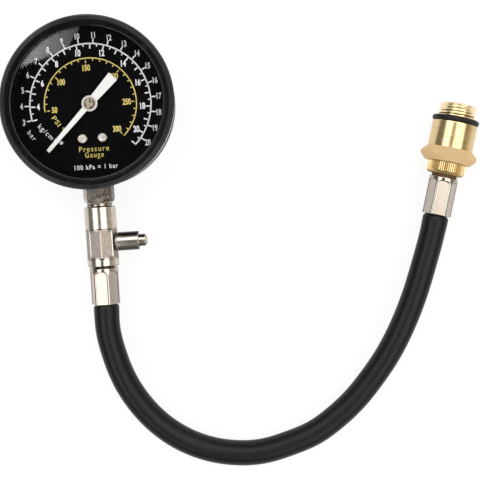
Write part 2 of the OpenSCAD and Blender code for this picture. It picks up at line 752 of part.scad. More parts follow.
// A flat spiral strip from the collet to the upper right pillar.
module hairspring() color("#d0d4d8") {
    count = hairspring_turns * hairspring_steps;
    start = hairspring_end_angle - hairspring_lead - hairspring_turns * 360;
    first_r = hairspring_in_r + hairspring_t / 2;
    middle = concat(
        [for (i = [0 : count])
            [first_r + (hairspring_out_r - first_r) * i / count, start + 360 * i / hairspring_steps]],
        [[hairspring_end_r - hairspring_t / 2, hairspring_end_angle]]);
    translate([0, 0, hairspring_z]) linear_extrude(hairspring_h) polygon(concat(
        [for (m = middle) polar(m[0] + hairspring_t / 2, m[1])],
        [for (i = [count + 1 : -1 : 0]) polar(middle[i][0] - hairspring_t / 2, middle[i][1])]));
}

module bourdon_tube() color("#b08d4a") difference() {
    tube_arc(tube_w, tube_h, tube_end_angle, tube_root_angle);
    tube_arc(tube_w - 2 * tube_wall, tube_h - 2 * tube_wall, tube_end_angle - 1, tube_root_angle + 1);
}

module tube_tip() color("#b9b9b9") difference() {
    union() {
        tube_arc(tube_w, tube_h, tube_end_angle - tip_arc, tube_end_angle);
        translate([0, 0, sector_z]) linear_extrude(sector_t) {
            translate(tip_pin) circle(r = tip_ear_r);
            rotate(tip_angle) translate([tip_pin_r, -tip_ear_r])
                square([tube_r - tip_pin_r, 2 * tip_ear_r]);
        }
    }
    translate([tip_pin[0], tip_pin[1], sector_z - cut])
        cylinder(d = link_pin_d + 2 * running, h = sector_t + 2 * cut);
}

module link_bar() color("#c0c0c0") {
    span = tip_pin - tail_pin;
    translate([tail_pin[0], tail_pin[1], link_z]) rotate(atan2(span[1], span[0])) linear_extrude(link_t)
        difference() {
            union() {
                translate([0, -link_bar_w / 2]) square([norm(span), link_bar_w]);
                for (x = [0, norm(span)]) translate([x, 0]) circle(d = link_eye_d);
            }
            for (x = [0, norm(span)]) translate([x, 0]) circle(d = link_pin_d + 2 * running);
        }
}

module link_pins() color("#a8a8a8") for (p = [tail_pin, tip_pin])
    translate([p[0], p[1], sector_z - link_pin_drop])
        bevelled_bar(link_pin_d / 2, link_top_z + link_pin_rivet - sector_z + link_pin_drop, snug, snug);

module gauge_socket() color("#8f8a83") difference() {
    union() {
        intersection() {
            along_stem(-socket_top_y) linear_extrude(stem_end + socket_top_y) stem_outline();
            along_stem(-socket_top_y) bevelled_bar(
                stem_corner_r, stem_end + socket_top_y, 0, stem_corner_r - stem_w / 2 + stem_end_chamfer);
        }
        along_stem(stem_end - cut) cylinder(d = stem_collar_d, h = tee_gap - snug + cut);
        along_stem(stem_end - cut) bevelled_bar(spigot_d / 2, spigot_len + cut, 0, edge_chamfer);
        translate([-pad_w / 2, socket_top_y - cut, stem_z - stem_w / 2])
            cube([pad_w, pad_top_y - socket_top_y + cut, pad_z - stem_z + stem_w / 2]);
        translate([-socket_foot_w / 2, socket_foot_y, socket_foot_z])
            cube([socket_foot_w, socket_foot_len, stem_z - stem_w / 2 - socket_foot_z + cut]);
    }
    along_stem(socket_bore_end) cylinder(d = bore_d, h = stem_end + spigot_len);
    tube_arc(tube_w + 2 * running, tube_h + 2 * running,
        tube_root_angle - tube_slot_arc, tube_root_angle + tube_slot_room);
    translate([tube_r * cos(tube_root_angle), tube_r * sin(tube_root_angle), stem_z])
        rotate([90, 0, tube_port_turn]) cylinder(d = tube_w - 2 * tube_wall, h = tube_port_len);
    for (p = case_screw_places) translate([p[0], p[1], 0])
        cylinder(d = case_screw_d + 2 * running, h = case_screw_len + screw_room);
    for (p = movement_screw_places) translate([p[0], p[1], pad_z - movement_screw_len])
        cylinder(d = movement_screw_d + 2 * running, h = movement_screw_len + cut);
    for (y = [0, pivot_y]) translate([0, y, pad_z - cut]) cylinder(d = pivot_d + 2 * clear, h = 2 * cut);
    translate([0, 0, dial_back_z - clear]) cylinder(r = case_r - case_wall, h = stem_w);
}

// The square section of the stem, with bevelled corners.
module stem_outline() {
    h = stem_w / 2;
    b = h - stem_bevel;
    polygon([[h, b], [b, h], [-b, h], [-h, b], [-h, -b], [-b, -h], [b, -h], [h, -b]]);
}

module case_screws() color("#a8a8a8") for (p = case_screw_places) translate([p[0], p[1], 0]) {
    countersink(0);
    cylinder(d = case_screw_d, h = case_screw_len);
}

module tee_body() color("#b7b1a6") difference() {
    union() {
        along_stem(tee_top) bevelled_bar(tee_d / 2, tee_top_len + cut, edge_chamfer, 0);
        along_stem(oct_top) intersection() {
            rotate(oct_turn) cylinder(d = oct_af / cos(oct_half), h = oct_len, $fn = 8);
            bevelled_bar(oct_af / 2 / cos(oct_half), oct_len, oct_chamfer, oct_chamfer);
        }
        along_stem(oct_end - cut) bevelled_bar(tee_d / 2, neck_len + cut, 0, edge_chamfer);
        along_stem(neck_end - cut) cylinder(d = groove_d, h = groove_len + cut);
        along_stem(ferrule_top - cut)
            bevelled_bar(nipple_d / 2, ferrule_upper_len - nipple_short + cut, 0, nipple_bevel);
    }
    along_stem(tee_top - cut) cylinder(d = spigot_d + 2 * snug, h = spigot_len - tee_gap + cut + clear);
    along_stem(tee_top) cylinder(d = bore_d, h = oct_end - tee_top);
    along_stem(tee_top) cylinder(d = nipple_bore_d, h = ferrule_mouth - tee_top);
    along_port(port_seat) cylinder(d = release_d + 2 * snug, h = oct_af);
    along_port(release_spigot_end - clear) cylinder(d = release_spigot_d + 2 * running, h = oct_af);
    along_port(poppet_top - poppet_t - button_travel - poppet_room)
        cylinder(d = poppet_d + 2 * poppet_room, h = release_spigot_end + button_travel + poppet_t);
}

module release_body() color("#a9a49a") difference() {
    union() {
        along_port(port_seat) bevelled_bar(release_d / 2, release_len - port_seat, 0, head_bevel);
        along_port(release_spigot_end)
            cylinder(d = release_spigot_d, h = port_seat - release_spigot_end + cut);
    }
    along_port(0) cylinder(d = button_stem_d + 2 * running, h = release_len + cut);
    along_port(release_spring_seat) cylinder(d = button_d + 2 * running, h = release_len);
}

module release_button() color("#b9b4a8") {
    button_end = release_len + button_out;
    dome_r = (pow(button_d / 2, 2) + pow(button_dome, 2)) / 2 / button_dome;
    intersection() {
        along_port(button_base) cylinder(d = button_d, h = button_end - button_base);
        along_port(button_end - dome_r) sphere(r = dome_r);
    }
    along_port(button_base) cylinder(d = button_d, h = button_end - button_dome - button_base);
    along_port(poppet_top - cut / 2) cylinder(d = button_stem_d, h = button_base - poppet_top + cut);
    along_port(poppet_top - poppet_t) bevelled_bar(poppet_d / 2, poppet_t, small_bevel, small_bevel);
}

module release_spring() color("#c8ccd0") along_port(release_spring_seat + running)
    coil(release_coil_r, release_wire, button_base - release_spring_seat - 2 * running, release_spring_turns);

module release_seal() color("#101010") along_port(poppet_top)
    ring(poppet_d / 2 - small_bevel, button_stem_d / 2 + running, release_seal_t);

// A crimped sleeve: round at its closed end, then pressed to six flats as far as its mouth.
module ferrule(length) difference() {
    union() {
        bevelled_bar(ferrule_d / 2 - ferrule_shoulder, ferrule_end_t, ferrule_shoulder, 0);
        intersection() {
            rotate(30) cylinder(d = ferrule_af / cos(30), h = length, $fn = 6);
            bevelled_bar(ferrule_d / 2, length, ferrule_arch, small_bevel);
        }
    }
    translate([0, 0, -cut]) cylinder(d = nipple_d + 2 * running, h = length);
    translate([0, 0, ferrule_end_t]) cylinder(r = ferrule_bore_r, h = length);
}

module ferrule_upper() color("#c4beb2") along_stem(ferrule_top)
    rotate(90 + ferrule_upper_turn) ferrule(ferrule_upper_len);

module ferrule_lower() color("#c4beb2") along_end(ferrule_lower_len)
    rotate([180, 0, 0]) rotate(90 + ferrule_lower_turn) ferrule(ferrule_lower_len);

// The hose: both ends are squeezed inside the ferrules, and its bore goes over the nipples.
function unit(v) = v / norm(v);
end_direction = [sin(end_turn), cos(end_turn), 0];
hose_tuck_upper = ferrule_upper_len - ferrule_end_t - clear;
hose_tuck_lower = ferrule_lower_len - ferrule_end_t - clear;
hose_line = concat(
    [[0, hose_tuck_upper, 0], [0, 0, 0], [0, -hose_step, 0]],
    [for (i = [1 : len(hose_route) - 2]) hose_route[i]],
    [hose_end - hose_step * end_direction, hose_end, hose_end + hose_tuck_lower * end_direction]);
hose_rings = len(hose_line);
function hose_heading(i) =
    i < 3 ? [0, -1, 0]
    : i > hose_rings - 4 ? end_direction
    : unit(hose_line[i + 1] - hose_line[i - 1]);
function hose_radius(i) = i < 2 || i > hose_rings - 3 ? hose_crimp_r : hose_d / 2;
function hose_rim(i, r) =
    let (t = hose_heading(i), n = unit(cross(t, [0, 0, 1])), b = cross(n, t))
    [for (j = [0 : hose_sides - 1])
        let (a = 360 * j / hose_sides)
        hose_line[i] + r * cos(a) * n + r * sin(a) * b];

module hose() color("#1c1c1d") {
    outer = [for (i = [0 : hose_rings - 1]) each hose_rim(i, hose_radius(i))];
    inner = [for (i = [hose_rings - 1 : -1 : 0]) each hose_rim(i, hose_bore_r)];
    loops = 2 * hose_rings;
    translate([0, -ferrule_mouth, stem_z]) polyhedron(concat(outer, inner),
        [for (i = [0 : loops - 1], j = [0 : hose_sides - 1])
            let (k = (j + 1) % hose_sides, a = i * hose_sides, b = ((i + 1) % loops) * hose_sides)
            each [[a + j, b + j, b + k], [a + j, b + k, a + k]]]);
}

module end_fitting() color("#c8a24c") difference() {
    union() {
        along_end(nipple_short) bevelled_bar(nipple_d / 2, end_neck_z - nipple_short + cut, nipple_bevel, 0);
        along_end(end_neck_z) cylinder(d = end_neck_d, h = end_neck_len + cut);
        along_end(knurl_z) bevelled_bar(knurl_core_r, knurl_len, knurl_chamfer, 0);
        along_end(knurl_z + knurl_chamfer) linear_extrude(knurl_len - knurl_chamfer)
            polygon([for (k = [0 : 2 * knurl_ridges - 1])
                polar(knurl_d / 2 - (k % 2) * knurl_depth, 180 * k / knurl_ridges)]);
        along_end(flange_z - cut) bevelled_bar(inner_thread_d / 2, inner_thread_len + cut, 0, edge_chamfer);
    }
    along_end(0) cylinder(d = nipple_bore_d, h = core_z);
    along_end(core_z - valve_room_len) cylinder(d = valve_room_d, h = valve_room_len + cut);
    along_end(core_z) cylinder(d = core_d + 2 * running, h = core_len * 2);
}

module thread_adapter() color("#d2ab52") difference() {
    union() {
        along_end(flange_z) intersection() {
            rotate_extrude() polygon([
                [0, 0], [flange_d / 2 - (flange_len - flange_edge) / 2, 0],
                [flange_d / 2, (flange_len - flange_edge) / 2], [flange_d / 2, (flange_len + flange_edge) / 2],
                [flange_d / 2 - (flange_len - flange_edge) / 2, flange_len], [0, flange_len]]);
            translate([-flange_d, -flange_af / 2, -cut]) cube([2 * flange_d, flange_af, flange_len + 2 * cut]);
        }
        along_end(flange_end - cut) cylinder(d = adapter_d, h = adapter_len + cut);
        along_end(ring_z - cut) cylinder(r = thread_d / 2 - ring_relief, h = thread_z - ring_z + 2 * cut);
        along_end(thread_z) bevelled_bar(thread_d / 2, thread_len, 0, thread_chamfer);
    }
    along_end(flange_z - cut) cylinder(d = inner_thread_d + 2 * snug, h = adapter_room_end - flange_z + cut);
    along_end(flange_z) cylinder(d = inlet_d, h = thread_end);
}

module adapter_o_ring() color("#141414") along_end(ring_z + snug)
    rotate_extrude() translate([ring_in_r + ring_section / 2, ring_section / 2]) circle(d = ring_section);

module valve_core() color("#c8a24c") along_end(core_z) ring(core_d / 2, valve_pin_d / 2 + running, core_len);

module valve_pin() color("#b9b9b9") {
    along_end(core_z - snug - valve_head_t)
        bevelled_bar(valve_head_d / 2, valve_head_t, small_bevel, small_bevel);
    along_end(core_z - snug - valve_head_t / 2)
        cylinder(d = valve_pin_d, h = valve_cap_z - core_z + valve_head_t);
    along_end(valve_cap_z) bevelled_bar(valve_cap_d / 2, valve_cap_t, 0, small_bevel);
}

module valve_spring() color("#c8ccd0") along_end(core_end + running)
    coil(valve_coil_r, valve_wire, valve_cap_z - core_end - 2 * running, valve_spring_turns);

gauge_case();
bezel_ring();
gauge_lens();
lens_seal();
dial_plate();
dial_screws();
dial_posts();
stop_pin();
pointer();
pointer_bush();
pinion_arbor();
sector_gear();
sector_arbor();
movement_front_plate();
movement_back_plate();
movement_pillars();
pillar_screws();
movement_screws();
hairspring();
bourdon_tube();
tube_tip();
link_bar();
link_pins();
gauge_socket();
case_screws();
tee_body();
release_body();
release_button();
release_spring();
release_seal();
ferrule_upper();
hose();
ferrule_lower();
end_fitting();
thread_adapter();
adapter_o_ring();
valve_core();
valve_pin();
valve_spring();
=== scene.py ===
# %% [markdown]
# # A compression tester gauge
# The tool is a round dial gauge on a square stem, a nickel tee with a push-button release valve, a rubber
# hose and a brass adapter that screws into a spark-plug hole. The solids of the part are loaded first, as a
# fixed frame in metres. Every new piece is computed in that same frame, so nothing has to be fitted later.

# %% Load the frame
import json
import math

import bmesh
import bpy
import numpy as np
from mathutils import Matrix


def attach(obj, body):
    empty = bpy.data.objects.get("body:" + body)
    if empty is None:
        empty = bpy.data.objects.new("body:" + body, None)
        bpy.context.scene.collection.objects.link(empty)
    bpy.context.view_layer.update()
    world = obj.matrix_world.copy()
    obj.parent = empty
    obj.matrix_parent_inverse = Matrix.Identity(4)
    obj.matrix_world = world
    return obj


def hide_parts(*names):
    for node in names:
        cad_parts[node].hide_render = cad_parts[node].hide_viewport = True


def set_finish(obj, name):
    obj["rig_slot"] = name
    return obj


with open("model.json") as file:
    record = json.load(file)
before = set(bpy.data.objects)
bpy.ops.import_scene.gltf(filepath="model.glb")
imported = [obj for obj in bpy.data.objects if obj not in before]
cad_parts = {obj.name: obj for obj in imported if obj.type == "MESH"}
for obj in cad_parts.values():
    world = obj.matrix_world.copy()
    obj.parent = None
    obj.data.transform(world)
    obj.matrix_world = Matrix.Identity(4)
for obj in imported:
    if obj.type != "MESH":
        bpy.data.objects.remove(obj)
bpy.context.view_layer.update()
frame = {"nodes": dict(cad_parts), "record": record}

MM = 0.001

# %% [markdown]
# ## Camera
# The gauge lies on its back and the camera looks straight down on it, with a small roll. The lens is worked
# out from how far the dial is shifted against the bezel above it. A longer lens would hide that shift. The
# frame reaches further down than up from the camera, as in a cropped picture, so the lens is shifted.

# %% Camera
CAMERA_AT = (67.85 * MM, -46.0 * MM, 492 * MM)
CAMERA_ROLL = math.radians(-3.8)
CAMERA_LENS, CAMERA_SENSOR, CAMERA_SHIFT = 73.0, 36, (0.007, -0.1052)
scene = bpy.context.scene
camera = bpy.data.objects.new("camera", bpy.data.cameras.new("camera"))
scene.collection.objects.link(camera)
camera.location = CAMERA_AT
camera.rotation_euler = (0, 0, CAMERA_ROLL)
camera.data.lens, camera.data.sensor_width = CAMERA_LENS, CAMERA_SENSOR
camera.data.shift_x, camera.data.shift_y = CAMERA_SHIFT
camera.data.clip_start, camera.data.clip_end = 0.01, 100
scene.camera = camera
scene.view_settings.view_transform = "Standard"
print("camera height:", CAMERA_AT[2], "m")

# %% [markdown]
# ## From arrays to meshes
# A lathe, a loft or a swept tube could each be a modifier, but all of them are the same thing: a grid of
# points with two parameters. So one helper turns a grid into faces and another turns points and faces into
# a piece that rides on a body of the part. Merging doubles closes seams and poles. Lengths that come with MM
# are in metres, and the bare numbers of a profile are in millimetres until its points are made.

# %% Grids and pieces
MERGE = 1e-7


def grid_faces(rows, columns, close_rows=True, close_columns=True):
    """Four-cornered faces of a grid of points, numbered row by row.

    A closed side joins its last line to its first.
    """
    index = np.arange(rows * columns).reshape(rows, columns)
    index = np.vstack([index, index[:1]]) if close_rows else index
    index = np.hstack([index, index[:, :1]]) if close_columns else index
    return np.stack([index[:-1, :-1], index[1:, :-1], index[1:, 1:], index[:-1, 1:]], -1).reshape(-1, 4)


def joined(parts):
    """Several (points, list of face arrays) as one, with the later faces counted on."""
    points, faces, start = [], [], 0
    for part_points, part_faces in parts:
        points.append(part_points.reshape(-1, 3))
        faces += [f + start for f in part_faces]
        start += len(points[-1])
    return np.concatenate(points), faces


def make_mesh(name, points, faces, sharp=40.0):
    """A mesh from arrays, with the corners listed face by face.

    Doubles are merged, normals are made to point outwards, and edges over the sharp angle stay hard.
    """
    mesh = bpy.data.meshes.new(name)
    sizes = np.concatenate([np.full(len(f), f.shape[1]) for f in faces])
    mesh.vertices.add(len(points))
    mesh.vertices.foreach_set("co", points.astype(np.float32).ravel())
    mesh.loops.add(int(sizes.sum()))
    corners = np.concatenate([f.ravel() for f in faces])
    mesh.loops.foreach_set("vertex_index", corners.astype(np.int32))
    mesh.polygons.add(len(sizes))
    mesh.polygons.foreach_set("loop_start", (np.cumsum(sizes) - sizes).astype(np.int32))
    mesh.update(calc_edges=True)
    work = bmesh.new()
    work.from_mesh(mesh)
    bmesh.ops.remove_doubles(work, verts=work.verts, dist=MERGE)
    bmesh.ops.dissolve_degenerate(work, edges=work.edges, dist=MERGE / 10)
    bmesh.ops.recalc_face_normals(work, faces=work.faces)
    work.to_mesh(mesh)
    work.free()
    mesh.polygons.foreach_set("use_smooth", np.ones(len(mesh.polygons), bool))
    mesh.set_sharp_from_angle(angle=math.radians(sharp))
    return mesh


def make_piece(name, points, faces, body, slot, replaces=(), sharp=40.0):
    """A new piece at the origin, which rides on a body, takes a slot's finish and may stand for solids."""
    piece = bpy.data.objects.new(name, make_mesh(name, points, faces, sharp))
    scene.collection.objects.link(piece)
    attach(piece, body)
    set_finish(piece, slot)
    if replaces:
        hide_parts(*replaces)
    print(f"{name}: {len(piece.data.polygons)} faces")
    return piece


def closed_piece(name, points, slot, replaces, sharp):
    """A piece from a grid of points that closes on itself both ways, as a tube with a wall does."""
    faces = [grid_faces(*points.shape[:2])]
    return make_piece(name, points.reshape(-1, 3), faces, "gauge", slot, replaces, sharp)


# %% [markdown]
# ## Hose
# The hose is one smooth curve from ferrule to ferrule, and its ends are squeezed inside them. A curve object
# with a bevel would give the tube, but not the squeeze. Here a clamped cubic spline runs through the route,
# and rings stand across it. The wall is a loop of four runs: outside, end, bore and end.

# %% Route of the hose
HOSE_R, HOSE_BORE_R, HOSE_CRIMP_R = 6.15 * MM, 3.0 * MM, 5.0 * MM
HOSE_RINGS, HOSE_SIDES = 241, 64
MOUTH = np.array([0, -98.0, 12.0]) * MM
ROUTE = MOUTH + MM * np.array([
    [0, 0, 0], [0, -12, 0], [2, -24, -0.6], [5.5, -36, -1.7], [12, -49, -3], [21, -60.5, -4.2],
    [32, -69.5, -5.1], [45.5, -76, -5.6], [59, -79, -5.8], [73, -79, -5.8], [86, -76, -5.8],
    [98.5, -71.5, -5.6], [109.5, -64.5, -5.1], [119.5, -56, -4.3], [128, -46.5, -3.3],
    [136, -36, -2.2], [143, -24.5, -1.2], [149, -12.5, -0.5], [154, -0.5, -0.1],
    [158, 10.5, 0], [161.8, 21.5, 0], [165.2, 33, 0]])
END_TURN = math.radians(15.5)
END_AXIS = np.array([math.sin(END_TURN), math.cos(END_TURN), 0])
STEM_AXIS = np.array([0, -1.0, 0])
UP = np.array([0, 0, 1.0])


def spline(knots, first, last, count):
    """A smooth curve through the knots.

    The slopes solve the condition that the bend is the same on both sides of each knot, with the end slopes
    given. Between two knots a cubic joins their places and slopes.
    """
    t = np.concatenate([[0], np.cumsum(np.linalg.norm(np.diff(knots, axis=0), axis=1))])
    h, n = np.diff(t), len(knots)
    bend, right = np.eye(n), np.zeros((n, 3))
    mid = np.arange(1, n - 1)
    bend[mid, mid - 1], bend[mid, mid], bend[mid, mid + 1] = h[1:], 2 * (h[:-1] + h[1:]), h[:-1]
    rise = np.diff(knots, axis=0) / h[:, None]
    right[mid] = 3 * (h[1:, None] * rise[:-1] + h[:-1, None] * rise[1:])
    right[0], right[-1] = first, last
    slope = np.linalg.solve(bend, right)
    at = np.linspace(0, t[-1], count)
    k = np.clip(np.searchsorted(t, at, "right") - 1, 0, n - 2)
    u, step = ((at - t[k]) / h[k])[:, None], h[k][:, None]
    return ((1 + 2 * u) * (1 - u) ** 2 * knots[k] + u * (1 - u) ** 2 * step * slope[k]
            + u * u * (3 - 2 * u) * knots[k + 1] - u * u * (1 - u) * step * slope[k + 1])


hose_line = spline(ROUTE, STEM_AXIS, END_AXIS, HOSE_RINGS)
hose_length = float(np.linalg.norm(np.diff(hose_line, axis=0), axis=1).sum())
print("hose between the ferrules:", round(hose_length, 4), "m")

# %% Hose
TUCK, TUCK_GAP, TUCK_RINGS = 15.0 * MM, 0.2 * MM, 12
CRIMP_FROM, CRIMP_TO = -0.3 * MM, 0.9 * MM
SWELL, SWELL_REACH = 0.12 * MM, 3.0 * MM


def smoothstep(x, low, high):
    """0 below low, 1 above high, and 3t^2 - 2t^3 between them."""
    t = np.clip((x - low) / (high - low), 0, 1)
    return t * t * (3 - 2 * t)


def tube_points(line, radius, sides):
    """Rings across a line: its points plus radius times (cosine times side arm plus sine times top arm).

    The side arm is level, and the top arm stands across both it and the line.
    """
    heading = np.gradient(line, axis=0)
    heading /= np.linalg.norm(heading, axis=1)[:, None]
    side = np.cross(heading, UP)
    side /= np.linalg.norm(side, axis=1)[:, None]
    top = np.cross(side, heading)
    turn = np.linspace(0, 2 * np.pi, sides, endpoint=False)
    arms = np.cos(turn)[None, :, None] * side[:, None] + np.sin(turn)[None, :, None] * top[:, None]
    return line[:, None] + radius[:, None, None] * arms


tuck = np.linspace(TUCK, TUCK_GAP, TUCK_RINGS)[:, None]
hose_run = np.concatenate([MOUTH - tuck * STEM_AXIS, hose_line, ROUTE[-1] + tuck[::-1] * END_AXIS])
walked = np.concatenate([[0], np.cumsum(np.linalg.norm(np.diff(hose_run, axis=0), axis=1))]) - TUCK
inside = np.minimum(walked, hose_length - walked)
outer = HOSE_CRIMP_R + (HOSE_R - HOSE_CRIMP_R) * smoothstep(inside, CRIMP_FROM, CRIMP_TO)
outer += SWELL * np.exp(-((inside - SWELL_REACH) / SWELL_REACH) ** 2) * (inside > 0)
bore = np.full(len(outer), HOSE_BORE_R)
hose_points = np.concatenate([tube_points(hose_run, outer, HOSE_SIDES),
                              tube_points(hose_run, bore, HOSE_SIDES)[::-1]])
hose = closed_piece("rubber_hose", hose_points, "hose_rubber", ["hose"], sharp=60)

# %% [markdown]
# ## Turned shapes
# Most fittings come off a lathe, so each is a profile of corners carried round an axis. Real corners are
# broken, so every corner becomes a short curve first. Then a fitting can be shaped further, ring by ring,
# because its points are still a plain array: the two flats of the flange, a helical thread or crimped flats.

# %% Profiles round an axis
MOST_CUT = 0.45


def broken_corners(corners, breaks, steps=5):
    """A closed profile whose corners are cut back by a length along both sides and bridged by a curve.

    From A to B round the corner C the curve is (1-t)^2 A + 2t(1-t) C + t^2 B, so it leaves along one side and
    arrives along the other.
    """
    corners = np.asarray(corners, float)
    back, on = np.roll(corners, 1, 0) - corners, np.roll(corners, -1, 0) - corners
    near = np.broadcast_to(np.asarray(breaks, float), len(corners))[:, None]
    far_a, far_b = np.linalg.norm(back, axis=1)[:, None], np.linalg.norm(on, axis=1)[:, None]
    a = corners + back / far_a * np.minimum(near, MOST_CUT * far_a)
    b = corners + on / far_b * np.minimum(near, MOST_CUT * far_b)
    t = np.linspace(0, 1, steps)[None, :, None]
    curve = (1 - t) ** 2 * a[:, None] + 2 * t * (1 - t) * corners[:, None] + t * t * b[:, None]
    return curve.reshape(-1, 2)


def finer(profile, longest):
    """A closed profile with points put into its sides, so that no side is longer than a given length."""
    after = np.roll(profile, -1, 0)
    count = np.maximum(1, np.ceil(np.linalg.norm(after - profile, axis=1) / longest).astype(int))
    side = np.repeat(np.arange(len(profile)), count)
    share = (np.arange(count.sum()) - np.repeat(np.cumsum(count) - count, count)) / count[side]
    return profile[side] + share[:, None] * (after - profile)[side]


def along_axis(across, lift, at, origin, axis, level):
    """Places of points given by two distances across an axis and one along it."""
    third = np.cross(axis, level)
    return origin + across[..., None] * level + lift[..., None] * third + at[..., None] * axis


def ring_grid(profile, sides):
    """Radius, angle and place along the axis of a profile carried round, each as profile points by sides."""
    angle = np.linspace(0, 2 * np.pi, sides, endpoint=False)
    shape = (len(profile), sides)
    return [np.broadcast_to(values, shape) for values in (profile[:, :1], angle, profile[:, 1:])]


# %% [markdown]
# ## Bezel ring
# The bezel is a pressed ring that holds the glass. Its top slopes in to the window, its outer edge is rolled
# over, and two fine beads run round just inside the roll, where the light catches. A bevel on the plain ring
# would round all its edges alike, so the profile is written out corner by corner and carried round.

# %% Bezel
BEZEL_CORNERS = [[36.0, 32.35], [36.0, 33.3], [36.4, 33.5], [38.95, 33.72], [39.25, 33.5], [39.75, 33.9],
                 [40.2, 33.45], [40.65, 33.8], [41.0, 33.2], [41.45, 32.9], [40.95, 24.4], [40.7, 23.92],
                 [40.15, 23.92], [40.15, 32.35]]
BEZEL_BREAKS = [0.1, 0.2, 0.2, 0.1, 0.2, 0.28, 0.2, 0.28, 0.2, 0.4, 0.3, 0.2, 0.15, 0.2]
BEZEL_STEPS, BEZEL_SIDES = 7, 192
bezel_profile = broken_corners(BEZEL_CORNERS, BEZEL_BREAKS, BEZEL_STEPS) * MM
radius, angle, at = ring_grid(bezel_profile, BEZEL_SIDES)
bezel_points = np.stack([radius * np.cos(angle), radius * np.sin(angle), at], -1)
bezel = closed_piece("rolled_bezel", bezel_points, "black_bezel", ["bezel_ring"], sharp=35)

# %% [markdown]
# ## Crimped ferrules
# A ferrule is a nickel sleeve that a six-jaw press squeezes onto the hose. Each jaw leaves a flat with an
# arched upper end, and the metal that flows between two jaws stands up as a ridge. Six jaws could be cut out
# of a sleeve, but pressed metal has no hard seams. So the radius is a round one outside the flats and that of
# a hexagon inside them, and a mask along and round the sleeve blends the two.

# %% Ferrules
FERRULE_FLAT, FERRULE_RIDGE_R, FERRULE_BORE_R, NIPPLE_R = 6.0, 7.05, 5.1, 2.8
FERRULE_END_R, FERRULE_CHAMFER, FERRULE_FLOOR = 6.65, 0.4, 1.7
FERRULE_GRAIN, FERRULE_SIDES = 0.2, 240
JAW_HALF, JAW_EDGE = math.radians(27), math.radians(2.2)
ARCH_AT, ARCH_DROP, ARCH_EDGE = 1.8, 1.5, 0.4


def ferrule_points(length, turn, origin, axis, level):
    """Ferrule from its closed end to its mouth.

    The angle from the middle of the nearest flat is the turn taken modulo 60 degrees. The press mask is the
    product of a step round the sleeve and an arched step along it.
    """
    profile = broken_corners(
        [[NIPPLE_R, 0], [FERRULE_END_R, 0], [FERRULE_RIDGE_R, FERRULE_CHAMFER], [FERRULE_RIDGE_R, length],
         [FERRULE_BORE_R, length], [FERRULE_BORE_R, FERRULE_FLOOR], [NIPPLE_R, FERRULE_FLOOR]],
        [0.1, 0.2, 0.2, 0.3, 0.2, 0.1, 0.1])
    radius, angle, at = ring_grid(finer(profile, FERRULE_GRAIN), FERRULE_SIDES)
    off = np.mod(angle - turn + np.pi / 6, np.pi / 3) - np.pi / 6
    around = 1 - smoothstep(np.abs(off), JAW_HALF - JAW_EDGE, JAW_HALF)
    arch = ARCH_AT + ARCH_DROP * (off / JAW_HALF) ** 4
    pressed = around * smoothstep(at, arch, arch + ARCH_EDGE)
    flat = FERRULE_FLAT / np.cos(off)
    outside = radius > 0.5 * (FERRULE_BORE_R + FERRULE_FLAT)
    squeezed = np.minimum(radius, radius + pressed * (flat - FERRULE_RIDGE_R))
    radius = np.where(outside, squeezed, radius) * MM
    return along_axis(radius * np.cos(angle), radius * np.sin(angle), at * MM, origin, axis, level)


STEM_ORIGIN = np.array([0, 0, 12.0]) * MM
END_ORIGIN = ROUTE[-1]
FERRULE_TOP, UPPER_LENGTH, LOWER_LENGTH = 80.0 * MM, 18.0, 18.9
UPPER_TURN, LOWER_TURN = math.radians(8), math.radians(5)
upper_end = STEM_ORIGIN + FERRULE_TOP * STEM_AXIS
upper_points = ferrule_points(UPPER_LENGTH, UPPER_TURN, upper_end, STEM_AXIS, UP)
ferrule_upper = closed_piece("crimped_ferrule_upper", upper_points, "ferrule_nickel",
                             ["ferrule_upper"], sharp=50)
lower_end = END_ORIGIN + LOWER_LENGTH * MM * END_AXIS
lower_points = ferrule_points(LOWER_LENGTH, LOWER_TURN, lower_end, -END_AXIS, UP)
ferrule_lower = closed_piece("crimped_ferrule_lower", lower_points, "ferrule_nickel",
                             ["ferrule_lower"], sharp=50)

# %% [markdown]
# ## Brass adapter
# The adapter has a V-edged flange with two flats for a spanner, a polished body, a groove for the seal ring
# and a short thread. The solids keep the thread plain. It could be a ridge swept along a helix, which would
# have to be joined to the body. Here the radius drops by a triangle wave whose phase turns once for each
# pitch, which is what a thread is, and the flats are a clamp on one distance.

